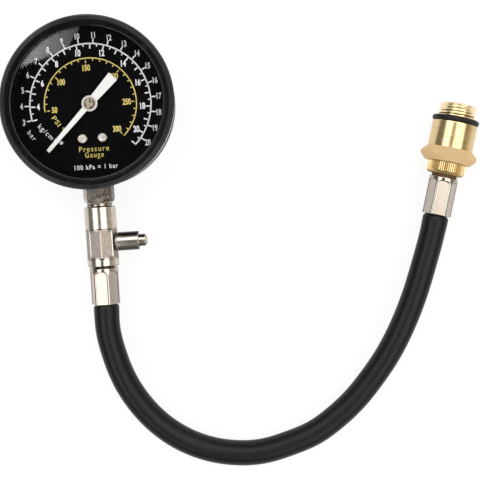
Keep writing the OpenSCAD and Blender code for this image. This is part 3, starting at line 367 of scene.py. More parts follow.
# %% Adapter
FLANGE_Z, FLANGE_END, RING_Z, THREAD_Z, THREAD_END = 26.3, 33.2, 46.0, 48.9, 55.3
THREAD_R, THREAD_PITCH, THREAD_DEPTH = 9.0, 1.5, 0.5
THREAD_SLOPE, THREAD_LAND = 2.4, 0.1
FLANGE_HALF_FLAT, FLANGE_R, FLANGE_FOOT_R, EDGE_FROM, EDGE_TO = 11.1, 13.75, 11.05, 29.0, 30.5
BODY_R, RING_SEAT_R, SOCKET_R, INLET_R, SOCKET_END = 10.95, 8.7, 7.1, 2.2, 40.3
TIP_R, TIP_Z = 8.3, 54.6
ADAPTER_GRAIN, ADAPTER_SIDES = 0.12, 144
adapter_profile = finer(broken_corners(
    [[SOCKET_R, FLANGE_Z], [FLANGE_FOOT_R, FLANGE_Z], [FLANGE_R, EDGE_FROM], [FLANGE_R, EDGE_TO],
     [FLANGE_FOOT_R, FLANGE_END], [BODY_R, FLANGE_END], [BODY_R, RING_Z], [RING_SEAT_R, RING_Z],
     [RING_SEAT_R, THREAD_Z], [THREAD_R, THREAD_Z], [THREAD_R, TIP_Z], [TIP_R, THREAD_END],
     [INLET_R, THREAD_END], [INLET_R, SOCKET_END], [SOCKET_R, SOCKET_END]],
    [0.1, 0.3, 0.7, 0.7, 0.2, 0.05, 0.35, 0.1, 0.1, 0.1, 0.3, 0.2, 0.3, 0.1, 0.1]), ADAPTER_GRAIN)
radius, angle, at = ring_grid(adapter_profile, ADAPTER_SIDES)
phase = np.mod(at / THREAD_PITCH - angle / (2 * np.pi), 1)
groove = np.clip(THREAD_SLOPE * np.abs(phase - 0.5) - THREAD_LAND, 0, 1)
run_in = smoothstep(at, THREAD_Z - 0.2, THREAD_Z + 0.6) * (radius > 8.0)
radius = radius - THREAD_DEPTH * groove * (run_in * smoothstep(THREAD_END - at, -0.1, 0.3))
across, lift = radius * np.cos(angle), radius * np.sin(angle)
flattened = np.clip(across, -FLANGE_HALF_FLAT, FLANGE_HALF_FLAT)
across = np.where(at < FLANGE_END + 0.05, flattened, across)
adapter_points = along_axis(across * MM, lift * MM, at * MM, END_ORIGIN, END_AXIS, UP)
adapter = closed_piece("turned_adapter", adapter_points, "adapter_brass", ["thread_adapter"], sharp=35)

# %% [markdown]
# ## Knurled collar
# The hose ends in a brass fitting with a knurled collar, which is screwed into the adapter by hand. The knurl
# could be a row of copied ridges, but here it is a wave round the collar that fades out over the chamfer, so
# the radius is again a function of two parameters.

# %% Collar
NECK_R, NECK_Z, KNURL_Z, KNURL_R, KNURL_RIDGES, KNURL_DEPTH = 6.1, 18.95, 20.4, 9.45, 60, 0.55
KNURL_MEAN, KNURL_SWING, KNURL_STEPS = 0.4, 0.8, 6
SHOULDER_R, SHOULDER_Z, KNURL_END = 8.1, 21.5, FLANGE_Z - 0.05
TAIL_R, TAIL_Z, GAS_R = 2.7, 1.4, 1.4
SPIGOT_R, SPIGOT_END, VALVE_R, VALVE_Z = 6.95, 38.0, 2.6, 25.0
COLLAR_GRAIN = 0.4
collar_profile = finer(broken_corners(
    [[GAS_R, TAIL_Z], [TAIL_R, TAIL_Z], [TAIL_R, NECK_Z], [NECK_R, NECK_Z], [NECK_R, KNURL_Z],
     [SHOULDER_R, KNURL_Z], [KNURL_R, SHOULDER_Z], [KNURL_R, KNURL_END], [SPIGOT_R, KNURL_END],
     [SPIGOT_R, SPIGOT_END], [VALVE_R, SPIGOT_END], [VALVE_R, VALVE_Z], [GAS_R, VALVE_Z]],
    [0.1, 0.2, 0.1, 0.1, 0.1, 0.3, 0.4, 0.3, 0.1, 0.3, 0.1, 0.1, 0.1]), COLLAR_GRAIN)
radius, angle, at = ring_grid(collar_profile, KNURL_RIDGES * KNURL_STEPS)
wave = np.clip(KNURL_MEAN - KNURL_SWING * np.cos(KNURL_RIDGES * angle), 0, 1)
ridged = smoothstep(radius, 8.2, 9.0) * (at > KNURL_Z)
radius = (radius - KNURL_DEPTH * wave * ridged) * MM
across, lift = radius * np.cos(angle), radius * np.sin(angle)
collar_points = along_axis(across, lift, at * MM, END_ORIGIN, END_AXIS, UP)
collar = closed_piece("knurled_collar", collar_points, "collar_brass", ["end_fitting"], sharp=25)

# %% [markdown]
# ## Printed scales
# The print on the dial is a layer of ink. It could be painted by a shader, but edges this fine would blur in
# a texture, so it is thin geometry: curved bands, bars for all ticks at once, and numbers from the built-in
# type, made into meshes before they are placed.

# %% Bands and ticks
DIAL_Z, INK = 21.0, 0.06
SCALE_ZERO, SCALE_STEP = 232.5, 13.5
KG_CM2, PSI = 0.980665, 0.0689476
BOX_FACES = np.array([[0, 1, 2, 3], [7, 6, 5, 4], [0, 4, 5, 1],
                      [1, 5, 6, 2], [2, 6, 7, 3], [3, 7, 4, 0]])


def scale_angle(bar):
    """Angle of a pressure: the scale starts at the lower left and turns clockwise."""
    return np.radians(SCALE_ZERO - SCALE_STEP * np.asarray(bar, float))


def band(radius, width, first, last, steps=160):
    """A flat strip along a circle: a four-cornered section carried over the angle."""
    turn = np.linspace(first, last, steps)[:, None]
    r = radius + width * np.array([-0.5, 0.5, 0.5, -0.5])
    z = np.broadcast_to(DIAL_Z + INK * np.array([-0.5, -0.5, 1, 1]), (steps, 4))
    points = np.stack([r * np.cos(turn), r * np.sin(turn), z], -1).reshape(-1, 3)
    ends = np.array([[3, 2, 1, 0], [4 * steps - 4, 4 * steps - 3, 4 * steps - 2, 4 * steps - 1]])
    return points, [grid_faces(steps, 4, False, True), ends]


def ticks(angles, inner, outer, width):
    """Bars along the radius, eight corners each, all at once.

    A corner is a distance along the bar's arm plus half a width across it.
    """
    angles = np.atleast_1d(angles)
    arm = np.stack([np.cos(angles), np.sin(angles)], -1)[:, None]
    side = np.stack([-np.sin(angles), np.cos(angles)], -1)[:, None]
    r = np.array([inner, outer, outer, inner] * 2)[None, :, None]
    w = np.array([-1, -1, 1, 1] * 2)[None, :, None] * width / 2
    z = np.broadcast_to(np.repeat(DIAL_Z + INK * np.array([-0.5, 1]), 4), (len(angles), 8))
    points = np.concatenate([r * arm + w * side, z[..., None]], -1).reshape(-1, 3)
    return points, [(BOX_FACES[None] + 8 * np.arange(len(angles))[:, None, None]).reshape(-1, 4)]


# %% Lettering
CAPITAL = 0.729


def lettering(text, x, y, height, narrow=0.8, turn=0.0, weight=0.018, spacing=1.0, length=None):
    """Words as a thin mesh. A capital letter is CAPITAL times the size of the type high.

    The letters are centred, scaled to a height and to a length or a share of their own width, turned and
    moved to their place.
    """
    curve = bpy.data.curves.new("letters", "FONT")
    curve.body, curve.size, curve.extrude, curve.offset = text, 1.0, 0.05, weight
    curve.resolution_u, curve.space_character = 5, spacing
    words = bpy.data.objects.new("letters", curve)
    scene.collection.objects.link(words)
    evaluated = words.evaluated_get(bpy.context.evaluated_depsgraph_get())
    mesh = bpy.data.meshes.new_from_object(evaluated)
    mesh.calc_loop_triangles()
    points = np.empty(3 * len(mesh.vertices))
    corners = np.empty(3 * len(mesh.loop_triangles), int)
    mesh.vertices.foreach_get("co", points)
    mesh.loop_triangles.foreach_get("vertices", corners)
    bpy.data.objects.remove(words)
    bpy.data.curves.remove(curve)
    bpy.data.meshes.remove(mesh)
    points = points.reshape(-1, 3)
    points[:, :2] -= (points[:, :2].min(0) + points[:, :2].max(0)) / 2
    size = height / (CAPITAL + 2 * weight)
    narrow = length / (size * np.ptp(points[:, 0])) if length else narrow
    flat = points[:, :2] * size * np.array([narrow, 1])
    c, s = math.cos(math.radians(turn)), math.sin(math.radians(turn))
    flat = flat @ np.array([[c, s], [-s, c]]) + [x, y]
    z = DIAL_Z + INK * np.where(points[:, 2] > 0, 1, -0.5)
    return np.column_stack([flat, z]), [corners.reshape(-1, 3)]


def numbers(values, bars, radius, height, **style):
    """Upright numbers round the dial: radius times cosine and sine of the scale's angle."""
    turn = scale_angle(bars)
    places = radius * np.stack([np.cos(turn), np.sin(turn)], -1)
    return [lettering(str(v), x, y, height, **style) for v, (x, y) in zip(values, places)]


# %% Scales
BAR_MARKS, KG_MARKS, PSI_MARKS = np.arange(3, 21), np.arange(3, 22), np.arange(50, 301, 50)
ARC_R, ARC_W, PSI_R = 29.3, 0.65, 22.3
white_print = [
    band(ARC_R, ARC_W, scale_angle(2.97), scale_angle(21 * KG_CM2)),
    ticks(scale_angle(BAR_MARKS), ARC_R, ARC_R + 2.6, 0.64),
    ticks(scale_angle(KG_MARKS * KG_CM2), ARC_R - 2.5, ARC_R, 0.62),
    ticks(scale_angle((KG_MARKS[:-1] + 0.5) * KG_CM2), ARC_R - 1.4, ARC_R, 0.54),
    *numbers(BAR_MARKS, BAR_MARKS, 33.4, 3.2, narrow=0.68, weight=0.03),
    *numbers(KG_MARKS[1::2], KG_MARKS[1::2] * KG_CM2, 25.3, 3.3, narrow=0.7, weight=0.03),
    lettering("bar", -29.2, -13.5, 2.4, turn=-55, weight=0.0, spacing=1.25, length=5.2),
    lettering("kg/cm²", -22.1, -13.0, 2.5, turn=-48, weight=0.0, spacing=1.25, length=10.8),
    lettering("100 kPa = 1 bar", 0.8, -30.5, 2.4, weight=0.015, spacing=1.2, length=21.0)]
yellow_print = [
    band(PSI_R, 0.5, scale_angle(49.6 * PSI), scale_angle(300.4 * PSI)),
    ticks(scale_angle(PSI_MARKS * PSI), PSI_R - 2.3, PSI_R, 0.55),
    ticks(scale_angle(np.arange(50, 301, 10) * PSI), PSI_R - 1.4, PSI_R, 0.45),
    *numbers(PSI_MARKS, PSI_MARKS * PSI, 17.6, 3.1, narrow=0.7, weight=0.03),
    lettering("0", -13.7, -11.5, 2.2),
    lettering("PSI", -16.95, -7.3, 2.4, turn=-57, weight=0.0, spacing=1.1, length=5.2),
    lettering("Pressure", 0.3, -21.7, 2.7, weight=0.0, spacing=1.25, length=14.5),
    lettering("Gauge", 0.3, -25.0, 2.7, weight=0.0, spacing=1.25, length=9.0)]
prints = {}
for name, parts in (("dial_print_white", white_print), ("dial_print_yellow", yellow_print)):
    points, faces = joined(parts)
    prints[name] = make_piece(name, points * MM, faces, "gauge", "dial_face")

# %% [markdown]
# ## Shader arithmetic
# A finish is a small formula on the surface: noise, waves and masks that change colour, roughness and bump.
# Node trees hide such formulas, so one class wraps a socket and lets Python's own operators add the nodes.


# %% Fields
class Field:
    """One socket of a node tree.

    Arithmetic on fields and numbers adds Math nodes, and node() adds any other node.
    """

    def __init__(self, tree, socket=None):
        self.tree, self.socket = tree, socket

    def node(self, kind, settings=None, sockets=None, output=0):
        """Adds a node: its settings first, then values or links for its sockets. Gives one output."""
        made = self.tree.nodes.new("ShaderNode" + kind)
        for key, value in (settings or {}).items():
            setattr(made, key, value)
        for key, value in (sockets or {}).items():
            if isinstance(value, Field):
                self.tree.links.new(value.socket, made.inputs[key])
            else:
                made.inputs[key].default_value = value
        return Field(self.tree, made.outputs[output])

    def math(self, operation, *values):
        """One Math node on fields and numbers."""
        return self.node("Math", {"operation": operation}, dict(enumerate(values)))

    def __add__(self, other):
        return self.math("ADD", self, other)

    def __sub__(self, other):
        return self.math("SUBTRACT", self, other)

    def __rsub__(self, other):
        return self.math("SUBTRACT", other, self)

    def __mul__(self, other):
        return self.math("MULTIPLY", self, other)

    def __truediv__(self, other):
        return self.math("DIVIDE", self, other)

    __radd__, __rmul__ = __add__, __mul__

    def step(self, low, high):
        """0 below low, 1 above high and smooth between them; with low above high it falls instead."""
        sockets = {"Value": self, "From Min": low, "From Max": high}
        return self.node("MapRange", {"interpolation_type": "SMOOTHSTEP"}, sockets)

    def between(self, low, high, soft):
        """1 from low to high, with soft edges."""
        return self.step(low - soft, low + soft) * self.step(high + soft, high - soft)

    def noise(self, per_mm, detail=3.0, rough=0.55):
        """Cloudy noise on a point field, with a number of spots in a millimetre."""
        sockets = {"Vector": self, "Scale": per_mm / MM, "Detail": detail, "Roughness": rough}
        return self.node("TexNoise", None, sockets)

    def stretch(self, x, y, z):
        """The point field scaled along each axis, so that noise on it becomes streaks."""
        return self.node("VectorMath", {"operation": "MULTIPLY"}, {0: self, 1: (x, y, z)})

    def along(self, axis, origin=(0, 0, 0)):
        """Distance of a point field from an origin, measured along an axis."""
        moved = self.node("VectorMath", {"operation": "SUBTRACT"}, {0: self, 1: tuple(origin)})
        return self.node("VectorMath", {"operation": "DOT_PRODUCT"}, {0: moved, 1: tuple(axis)}, "Value")

    def reach(self, axis, origin=(0, 0, 0)):
        """Distance of a point field from an axis: the length of the cross product with it."""
        moved = self.node("VectorMath", {"operation": "SUBTRACT"}, {0: self, 1: tuple(origin)})
        across = self.node("VectorMath", {"operation": "CROSS_PRODUCT"}, {0: moved, 1: tuple(axis)})
        return self.node("VectorMath", {"operation": "LENGTH"}, {0: across}, "Value")

    def blend(self, low, high):
        """Two colours mixed by this field."""
        return self.node("Mix", {"data_type": "RGBA"}, {0: self, 6: low, 7: high}, 2)


def colour(red, green, blue):
    """A solid colour from its three linear shares."""
    return (red, green, blue, 1.0)


def new_finish(name, **fixed):
    """A material with one Principled shader, whose even values are set on its sockets.

    Returns it with its shader and the point field of the surface.
    """
    material = bpy.data.materials.new(name)
    material.use_nodes = True
    shader = material.node_tree.nodes["Principled BSDF"]
    for key, value in fixed.items():
        shader.inputs[key.replace("_", " ")].default_value = value
    print("finish:", name)
    return material, shader, Field(material.node_tree).node("TexCoord", output="Object")


def dress(shader, base, roughness, height, relief):
    """Links what varies: base colour, roughness, and a height with its relief in millimetres as bump."""
    sockets = {"Strength": 1.0, "Distance": relief * MM, "Height": height}
    bump = height.node("Bump", None, sockets, "Normal")
    for key, field in (("Base Color", base), ("Roughness", roughness), ("Normal", bump)):
        shader.id_data.links.new(field.socket, shader.inputs[key])


finishes = {}

# %% [markdown]
# ## Black finishes
# The case and the bezel have satin enamel with a faint orange peel and a little dust. The dial is matt, the
# hose is satin rubber with a pale bloom, and seals are plain matt rubber. One black would make them all look
# like the same plastic, so they differ in gloss, in roughness and in the size of their grain.

# %% Enamel
RUBBED_HIGHLIGHT_GREY = colour(0.06, 0.06, 0.06)
RIM_HALF, RIM_SOFT = 0.1, 0.08
BEZEL_RIMS = (39.75, 40.65, 41.3)


def black_enamel(name, gloss, rough, peel, rims=()):
    """Black enamel with dust. Handling has rubbed the rims, given by their radius, thin and grey, and the
    grey also paints their highlight lines.
    """
    material, shader, point = new_finish(name, Specular_IOR_Level=gloss)
    dust = point.noise(0.25, 4).step(0.5, 0.75)
    paint = dust.blend(colour(0.004, 0.004, 0.0045), colour(0.007, 0.007, 0.007))
    for rim in rims:
        # painted highlight: the light grey on the bead crests stands in for the lines of light they catch, as
        # well as for wear
        ring = point.reach(UP).between((rim - RIM_HALF) * MM, (rim + RIM_HALF) * MM, RIM_SOFT * MM)
        paint = (ring * (0.4 + 0.6 * point.noise(0.06, 2).step(0.4, 0.6))).blend(paint, RUBBED_HIGHLIGHT_GREY)
    dress(shader, paint, rough + 0.08 * dust + 0.05 * point.noise(2.0), point.noise(1.6, 2), peel)
    return material


finishes["black_case"] = black_enamel("satin_case_enamel", 0.13, 0.42, 0.02)
finishes["black_bezel"] = black_enamel("satin_bezel_enamel", 0.26, 0.1, 0.002, BEZEL_RIMS)


# %% Rubber and dial paint
def matt_rubber(name, grain):
    """Matt rubber in two blacks, patch by patch, with a fine grain."""
    material, shader, point = new_finish(name, Specular_IOR_Level=0.25)
    patch = point.noise(0.4, 3).step(0.4, 0.7)
    dress(shader, patch.blend(colour(0.005, 0.005, 0.006), colour(0.009, 0.009, 0.009)),
          0.42 + 0.15 * point.noise(3.0), point.noise(grain, 2), 0.02)
    return material


finishes["rubber"] = matt_rubber("seal_rubber", 4.0)

material, shader, point = new_finish("matt_dial_paint", Specular_IOR_Level=0.02)
speck = point.noise(6.0, 2).step(0.55, 0.75)
dress(shader, speck.blend(colour(0.0008, 0.0008, 0.001), colour(0.002, 0.002, 0.0023)),
      0.55 + 0.2 * speck, point.noise(8.0, 2), 0.01)
finishes["dial_face"] = material

material, shader, point = new_finish("drawn_hose_rubber", Specular_IOR_Level=0.24)
bloom = point.noise(0.12, 4).step(0.45, 0.8)
dress(shader, bloom.blend(colour(0.0018, 0.0018, 0.002), colour(0.0035, 0.0035, 0.0034)),
      0.36 + 0.1 * bloom + 0.06 * point.noise(1.5), point.noise(2.5, 3), 0.018)
finishes["hose_rubber"] = material

# %% [markdown]
# ## Ink and enamel on the dial
# The print and the pointer are white and yellow enamel. A plain colour would look like paper, so a slow noise
# makes the film thinner in places, and a fine one gives it a skin.


# %% Ink
def ink(name, thin, full, rough):
    """Enamel whose colour goes from thin to full with the thickness of its film."""
    material, shader, point = new_finish(name, Specular_IOR_Level=0.35)
    film = point.noise(1.2, 3).step(0.3, 0.7)
    dress(shader, film.blend(thin, full), rough + 0.1 * film, point.noise(5.0, 2), 0.006)
    return material


white_ink = ink("white_dial_ink", colour(0.70, 0.71, 0.72), colour(0.81, 0.82, 0.83), 0.45)
yellow_ink = ink("yellow_dial_ink", colour(0.55, 0.45, 0.12), colour(0.67, 0.55, 0.16), 0.45)

# %% Pointer: white enamel, with painted shade on its round boss
BOSS_R = 3.8
material, shader, point = new_finish("pointer_enamel", Specular_IOR_Level=0.35)
film = point.noise(1.2, 3).step(0.3, 0.7)
# painted shade: the enamel on the round boss is darker and warmer, for the shade round the hub
boss_shade = point.reach(UP).step((BOSS_R + 0.1) * MM, (BOSS_R - 0.3) * MM)
enamel = film.blend(colour(0.67, 0.67, 0.67), colour(0.73, 0.73, 0.73))
dress(shader, boss_shade.blend(enamel, colour(0.60, 0.565, 0.54)), 0.35 + 0.1 * film, point.noise(5.0, 2), 0.006)
finishes["pointer_white"] = material

# %% [markdown]
# ## Metals
# Bright metal shows the room more than its own colour, so its look is in the roughness and the fine marks
# that a tool left: streaks along a drawn sleeve, rings on turned brass, mottled skin on a casting. Bump alone
# would not show at this size, so the same marks also change the colour and the roughness.


# %% Streaked metals
def streaked_metal(name, dark, bright, rough, streaks, per_mm=2.0, relief=0.01):
    """Metal with streaks: noise on a point field that is squeezed along the direction of the marks."""
    material, shader, point = new_finish(name, Metallic=1.0)
    mark = point.stretch(*streaks).noise(per_mm, 4, 0.6)
    stain_and_shade = point.noise(0.3, 4).step(0.35, 0.75)
    dress(shader, (0.5 * stain_and_shade + 0.5 * mark).blend(dark, bright),
          rough + 0.18 * (mark - 0.5) + 0.06 * stain_and_shade, mark, relief)
    return material


STREAKED = {
    "bright_steel": ("bright_steel", colour(0.46, 0.46, 0.46), colour(0.66, 0.66, 0.65), 0.28, (1, 1, 0.2)),
    "spring_steel": ("spring_steel", colour(0.50, 0.51, 0.53), colour(0.70, 0.71, 0.73), 0.22, (1, 1, 1)),
    "tube_bronze": ("drawn_bronze", colour(0.36, 0.22, 0.09), colour(0.60, 0.40, 0.18), 0.3, (1, 1, 0.1)),
    "movement_brass": ("stamped_brass", colour(0.52, 0.36, 0.14), colour(0.74, 0.55, 0.25), 0.3,
                       (0.15, 1, 1)),
    "ferrule_nickel": ("crimped_nickel", colour(0.42, 0.375, 0.32), colour(0.52, 0.475, 0.42), 0.16,
                       (1, 0.12, 1), 3.0, 0.002),
    "screw_nickel": ("screw_nickel", colour(0.58, 0.52, 0.45), colour(0.97, 0.92, 0.85), 0.3,
                     (0.1, 1, 1), 3.0, 0.03)}
for slot, row in STREAKED.items():
    finishes[slot] = streaked_metal(*row)

# %% Stem: mottled casting, with a painted highlight on its left corner and bevel, and a turned foot
STEM_FOOT, STEM_BEVEL, HIGHLIGHT_X = -48.45 * MM, -47.65 * MM, -5.2 * MM
material, shader, point = new_finish("cast_stem_nickel", Metallic=1.0)
pits = 0.6 * point.noise(2.4, 5, 0.7) + 0.4 * point.stretch(1, 0.25, 1).noise(2.0, 3)
skin = (0.75 * pits + 0.25 * point.noise(0.5, 3)).step(0.4, 0.6)
foot = point.along((0, 1, 0)).step(STEM_FOOT + 0.05 * MM, STEM_FOOT - 0.05 * MM)
# painted highlight: the left corner and the bevel above the foot are made light for the light they catch
stem_highlight = point.math("MAXIMUM", point.along((1, 0, 0)).step(HIGHLIGHT_X + 0.3 * MM, HIGHLIGHT_X - 0.3 * MM),
                  point.along((0, 1, 0)).between(STEM_FOOT, STEM_BEVEL, 0.1 * MM))
cast = skin.blend(colour(0.03, 0.025, 0.022), colour(0.27, 0.24, 0.215))
oily = point.noise(0.7, 3).step(0.42, 0.6).blend(colour(0.03, 0.024, 0.015), colour(0.42, 0.37, 0.28))
dress(shader, foot.blend((0.75 * stem_highlight).blend(cast, colour(0.80, 0.75, 0.69)), oily),
      0.5 - 0.15 * skin - 0.1 * stem_highlight - 0.2 * foot, pits * (1 - foot), 0.25)
finishes["stem_nickel"] = material

# %% Tee: bright where it was turned, milled on the eight faces, with painted highlights and painted shade
MILLED_FROM, MILLED_TO = -75.1 * MM, -61.5 * MM
EDGE_TURN, EDGE_HALF = math.radians(-3), math.radians(3.5)
GROOVE_FROM, GROOVE_TO = -80.1 * MM, -78.9 * MM
OCTAGON_MID, OCTAGON_HALF = -68.3 * MM, 7.0 * MM
PORT_ORIGIN = np.array([0, -67.7, 12.0]) * MM
PORT_FROM = 8.0 * MM
material, shader, point = new_finish("tee_nickel", Metallic=1.0)
right = point.along((1, 0, 0))
milled = point.along((0, 1, 0)).between(MILLED_FROM, MILLED_TO, 0.15 * MM) * right.step(PORT_FROM, 7.6 * MM)
cutter = point.stretch(1, 0.15, 1).noise(4.0, 4, 0.6)
tarnish = point.noise(0.35, 4).step(0.4, 0.75)
polished = tarnish.blend(colour(0.56, 0.51, 0.44), colour(0.66, 0.61, 0.54))
dull = cutter.step(0.25, 0.75).blend(colour(0.20, 0.172, 0.152), colour(0.42, 0.37, 0.33))
# painted highlight: the corners of the eight faces take the polished colour, and the outer ones a near white,
# for the lines of light along them
turn = point.math("ARCTAN2", right, point.along(UP, STEM_ORIGIN))
folded = point.math("PINGPONG", turn + EDGE_TURN + 2 * math.pi, math.pi / 8)
corner_highlight = folded.step(EDGE_HALF, 0.3 * EDGE_HALF)
outer = point.math("ABSOLUTE", right).step(3 * MM, 5 * MM)
dull = corner_highlight.blend(dull, outer.blend(polished, colour(0.95, 0.90, 0.83)))
# painted shade: a dark rim in patches where the eight faces meet the turned ends
outside = point.math("ABSOLUTE", point.along((0, 1, 0)) - OCTAGON_MID) - OCTAGON_HALF
shoulder_shade = outside.between(-0.05 * MM, 0.5 * MM, 0.12 * MM) * point.noise(0.35, 2).step(0.3, 0.5)
# painted shade in the groove at the hose end of the tee
groove_shade = point.along((0, 1, 0)).between(GROOVE_FROM, GROOVE_TO, 0.1 * MM)
# painted shade: the release valve's body is darkened on both its sideways flanks, more on one
lean = point.along((0, 1, 0), PORT_ORIGIN) / point.reach((1, 0, 0), PORT_ORIGIN)
below = 0.6 * lean.step(-0.25, -0.6) + 0.4 * lean.step(-0.62, -0.8)
stain_and_shade = point.math("MAXIMUM", lean.step(0.62, 0.8), below) * right.step(PORT_FROM, 8.3 * MM)
# the painted shades of the groove, the shoulders and the valve's flanks share one near-black colour
dark = point.math("MAXIMUM", point.math("MAXIMUM", groove_shade, 0.9 * shoulder_shade), stain_and_shade)
dress(shader, dark.blend(milled.blend(polished, dull), colour(0.06, 0.053, 0.046)),
      0.22 + 0.04 * tarnish + milled * (0.14 + 0.12 * cutter), milled * cutter, 0.03)
finishes["tee_nickel"] = material

# %% Brass of the fittings
GROOVE_DIRT_AND_SHADE = colour(0.40, 0.265, 0.11)
FLAT_SHADE_BRASS = colour(0.49, 0.355, 0.19)
CUT_BRASS = colour(0.94, 0.78, 0.50)
GROOVE_TOP, GROOVE_FLOOR = 9.3 * MM, 8.95 * MM


def turned_brass(name, deep, pale, matt, rough, matt_from, matt_to):
    """Brass with fine rings from the lathe, which are noise along the axis.

    It has a matt stretch between two places on the axis, and a darker colour where a groove of the knurl is
    closer to the axis than its ridges, which is dirty brass and painted shade in one.
    """
    material, shader, point = new_finish(name, Metallic=1.0)
    at = point.along(END_AXIS, END_ORIGIN)
    reach = point.reach(END_AXIS, END_ORIGIN)
    dulled = at.between(matt_from * MM, matt_to * MM, 0.1 * MM)
    # painted shade and dirt: the knurl's grooves take a darker brass
    dirt_and_shade = at.between(KNURL_Z * MM, FLANGE_Z * MM, 0.1 * MM) * reach.step(GROOVE_TOP, GROOVE_FLOOR)
    rings = at.node("TexNoise", {"noise_dimensions": "1D"}, {"W": at, "Scale": 4.0 / MM, "Detail": 2.0})
    grain = point.noise(3.0, 3)
    stain_and_shade = point.noise(0.3, 4).step(0.35, 0.75)
    height = point.math("ABSOLUTE", point.along(UP, END_ORIGIN))
    # painted shade: the flats of the flange face the lamps, so they get a darker brass to look no brighter
    # than the cone beside them
    flats = height.step((FLANGE_HALF_FLAT - 0.2) * MM, FLANGE_HALF_FLAT * MM)
    bright = at.step((THREAD_Z - 0.2) * MM, (THREAD_Z + 0.1) * MM).blend(
        (0.6 * stain_and_shade + 0.4 * rings).blend(deep, pale), CUT_BRASS)
    skin = dulled.blend(bright, flats.blend(matt, FLAT_SHADE_BRASS))
    material.node_tree.links.new((1 - 0.5 * dulled).socket, shader.inputs["Metallic"])
    dress(shader, dirt_and_shade.blend(skin, GROOVE_DIRT_AND_SHADE),
          rough + 0.03 * stain_and_shade + dulled * (0.38 + 0.15 * grain), rings + dulled * 5.0 * grain, 0.003)
    return material


finishes["adapter_brass"] = turned_brass("adapter_brass", colour(0.66, 0.48, 0.23), colour(0.80, 0.64, 0.38),
                                         colour(0.68, 0.49, 0.26), 0.22, 26.0, 33.15)
finishes["collar_brass"] = turned_brass("collar_brass", colour(0.88, 0.68, 0.35), colour(0.98, 0.83, 0.52),
                                        colour(0.14, 0.08, 0.035), 0.28, 18.0, 20.5)

# %% Bush of the pointer: rings about its own axis, worn in patches
material, shader, point = new_finish("turned_bush_brass", Metallic=1.0)
reach = point.reach(UP)
rings = reach.node("TexNoise", {"noise_dimensions": "1D"}, {"W": reach, "Scale": 5.0 / MM, "Detail": 2.0})
wear = (0.25 * rings + 0.75 * point.noise(0.9, 3)).step(0.4, 0.62)
dress(shader, wear.blend(colour(0.09, 0.073, 0.055), colour(0.47, 0.40, 0.31)),
      0.3 + 0.15 * rings, wear, 0.03)
finishes["bush_brass"] = material

# %% [markdown]
# ## Glass
# The window is flat clear glass. A real refracting glass would darken the dial in a short render, so the
# surface mixes a clear shader with a mirror by Fresnel's law, which is all that flat glass shows. The law
# turns its index over on a face met from behind, and there a straight ray at a slant would be mirrored
# whole. So the index is turned over once more on those faces, and the dial can be read from the side.

# %% Lens
GLASS_IOR = 1.45


def bare_finish(name):
    """A material with no shader yet. Returns it with a field to start from."""
    material = bpy.data.materials.new(name)
    material.use_nodes = True
    material.node_tree.nodes.remove(material.node_tree.nodes["Principled BSDF"])
    print("finish:", name)
    return material, Field(material.node_tree)


def show(shader):
    """Links a shader to the output of its material."""
    output = shader.tree.nodes["Material Output"]
    shader.tree.links.new(shader.socket, output.inputs["Surface"])


material, start = bare_finish("window_glass")
point = start.node("TexCoord", output="Object")
smear = point.noise(0.08, 3).step(0.4, 0.8)
mirror = point.node("BsdfGlossy", None, {"Color": colour(1, 1, 1), "Roughness": 0.02 + 0.02 * smear})
clear = point.node("BsdfTransparent", None, {"Color": colour(1, 1, 1)})
behind = point.node("NewGeometry", output="Backfacing")
share = point.node("Fresnel", None, {"IOR": GLASS_IOR + (1 / GLASS_IOR - GLASS_IOR) * behind})
show(point.node("MixShader", None, {0: share, 1: clear, 2: mirror}))
finishes["lens"] = material

# %% Finishes go onto solids and pieces by their slot
slot_of = {row["node"]: row["material_slot"] for row in frame["record"]["subparts"]}
for name, node in frame["nodes"].items():
    node.data.materials.clear()
    node.data.materials.append(finishes[slot_of[name]])
for piece in (hose, bezel, ferrule_upper, ferrule_lower, adapter, collar):
    piece.data.materials.append(finishes[piece["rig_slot"]])
prints["dial_print_white"].data.materials.append(white_ink)
prints["dial_print_yellow"].data.materials.append(yellow_ink)
print("slots with a finish:", len(finishes))

# %% [markdown]
# ## Studio
# The object lies on a white table under three soft panels in a dim room. Bright metal shows the panels as
# stripes, and the stripes on the tee and on the brass are at different places, so the panels can't be far
# away like a sky: they hang a metre up, left and right of the camera, with a small one behind. The glare on
# the glass comes from a glowing card, because a lamp can't fade to one side. The table looks white to the
# camera and in reflections, and takes the shadow.

# %% Panels
PANEL_Z = 1.0


def panel(name, x, y, wide, long, level, tint):
    """A level rectangle of light that shines down. Its power is four times its brightness times its area."""
    light = bpy.data.lights.new(name, "AREA")
    light.shape, light.size, light.size_y = "RECTANGLE", wide, long
    light.energy, light.color = 4 * level * wide * long, tint
    lamp = bpy.data.objects.new(name, light)
    lamp.location = (x, y, PANEL_Z)
    scene.collection.objects.link(lamp)


panel("panel_left", -0.675, 0, 0.83, 3.0, 2.0, (0.97, 0.99, 1.0))
panel("panel_right", 0.66, 0, 0.98, 3.0, 2.0, (1.0, 0.97, 0.92))
panel("panel_back", -0.045, 0.54, 0.43, 0.62, 2.5, (1.0, 1.0, 1.0))
print("panels at:", PANEL_Z, "m")

# %% Glare card: it fades to the right, so it is a glowing sheet and not a lamp
CARD_CORNERS = [[-0.26, 0.147], [-0.168, 0.176], [-0.133, 0.226], [-0.26, 0.226]]
CARD_LEVEL, CARD_FADE = 4.8, (-0.10, -0.27)


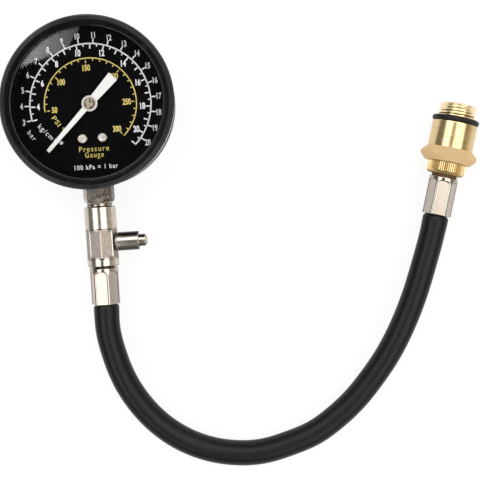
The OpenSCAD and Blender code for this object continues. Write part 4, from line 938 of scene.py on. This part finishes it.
def sheet(name, corners, height, material):
    """A level sheet of the studio: one face with its corners at a height."""
    mesh = bpy.data.meshes.new(name)
    mesh.from_pydata([(x, y, height) for x, y in corners], [], [(0, 1, 2, 3)])
    mesh.materials.append(material)
    made = bpy.data.objects.new(name, mesh)
    scene.collection.objects.link(made)
    return made


material, start = bare_finish("glare_card")
fade = start.node("TexCoord", output="Object").along((1, 0, 0)).step(*CARD_FADE)
glow = fade.blend(colour(0, 0, 0), colour(1, 1, 1))
show(start.node("Emission", None, {"Color": glow, "Strength": CARD_LEVEL}))
sheet("glare_card", CARD_CORNERS, PANEL_Z, material).visible_camera = False

# %% Room
world = bpy.data.worlds.new("studio")
scene.world = world
world.use_nodes = True
tree = world.node_tree
sky = Field(tree)
heading = sky.node("TexCoord", output="Generated")
LEFT_WALL, RIGHT_WALL = colour(0.27, 0.25, 0.235), colour(0.70, 0.62, 0.52)
CEILING = colour(0.03, 0.029, 0.028)
walls = heading.along((1, 0, 0)).step(-0.6, 0.6).blend(LEFT_WALL, RIGHT_WALL)
room = heading.along(UP).step(0.1, 0.8).blend(walls, CEILING)
shown = sky.node("LightPath", output="Is Camera Ray").blend(room, colour(1, 1, 1))
background = tree.nodes["Background"]
tree.links.new(shown.socket, background.inputs["Color"])
background.inputs["Strength"].default_value = 1.0
print("room:", world.name)

# %% Table
TABLE_HALF, TABLE_DROP, TABLE_GLOW = 30.0, 0.05 * MM, 0.88
TABLE_CORNERS = np.array([[-1, -1], [1, -1], [1, 1], [-1, 1]]) * TABLE_HALF
material, start = bare_finish("white_table")
rays = [start.node("LightPath", output=f"Is {kind} Ray") for kind in ("Camera", "Glossy", "Transmission")]
direct = start.math("MAXIMUM", start.math("MAXIMUM", rays[0], rays[1]), rays[2])
diffuse = start.node("BsdfDiffuse", None, {"Color": colour(0.92, 0.92, 0.92)})
glow = start.node("Emission", None, {"Color": colour(1, 1, 1), "Strength": 1.0})
show(start.node("MixShader", None, {0: direct * TABLE_GLOW, 1: diffuse, 2: glow}))
sheet("table", TABLE_CORNERS.tolist(), -TABLE_DROP, material)
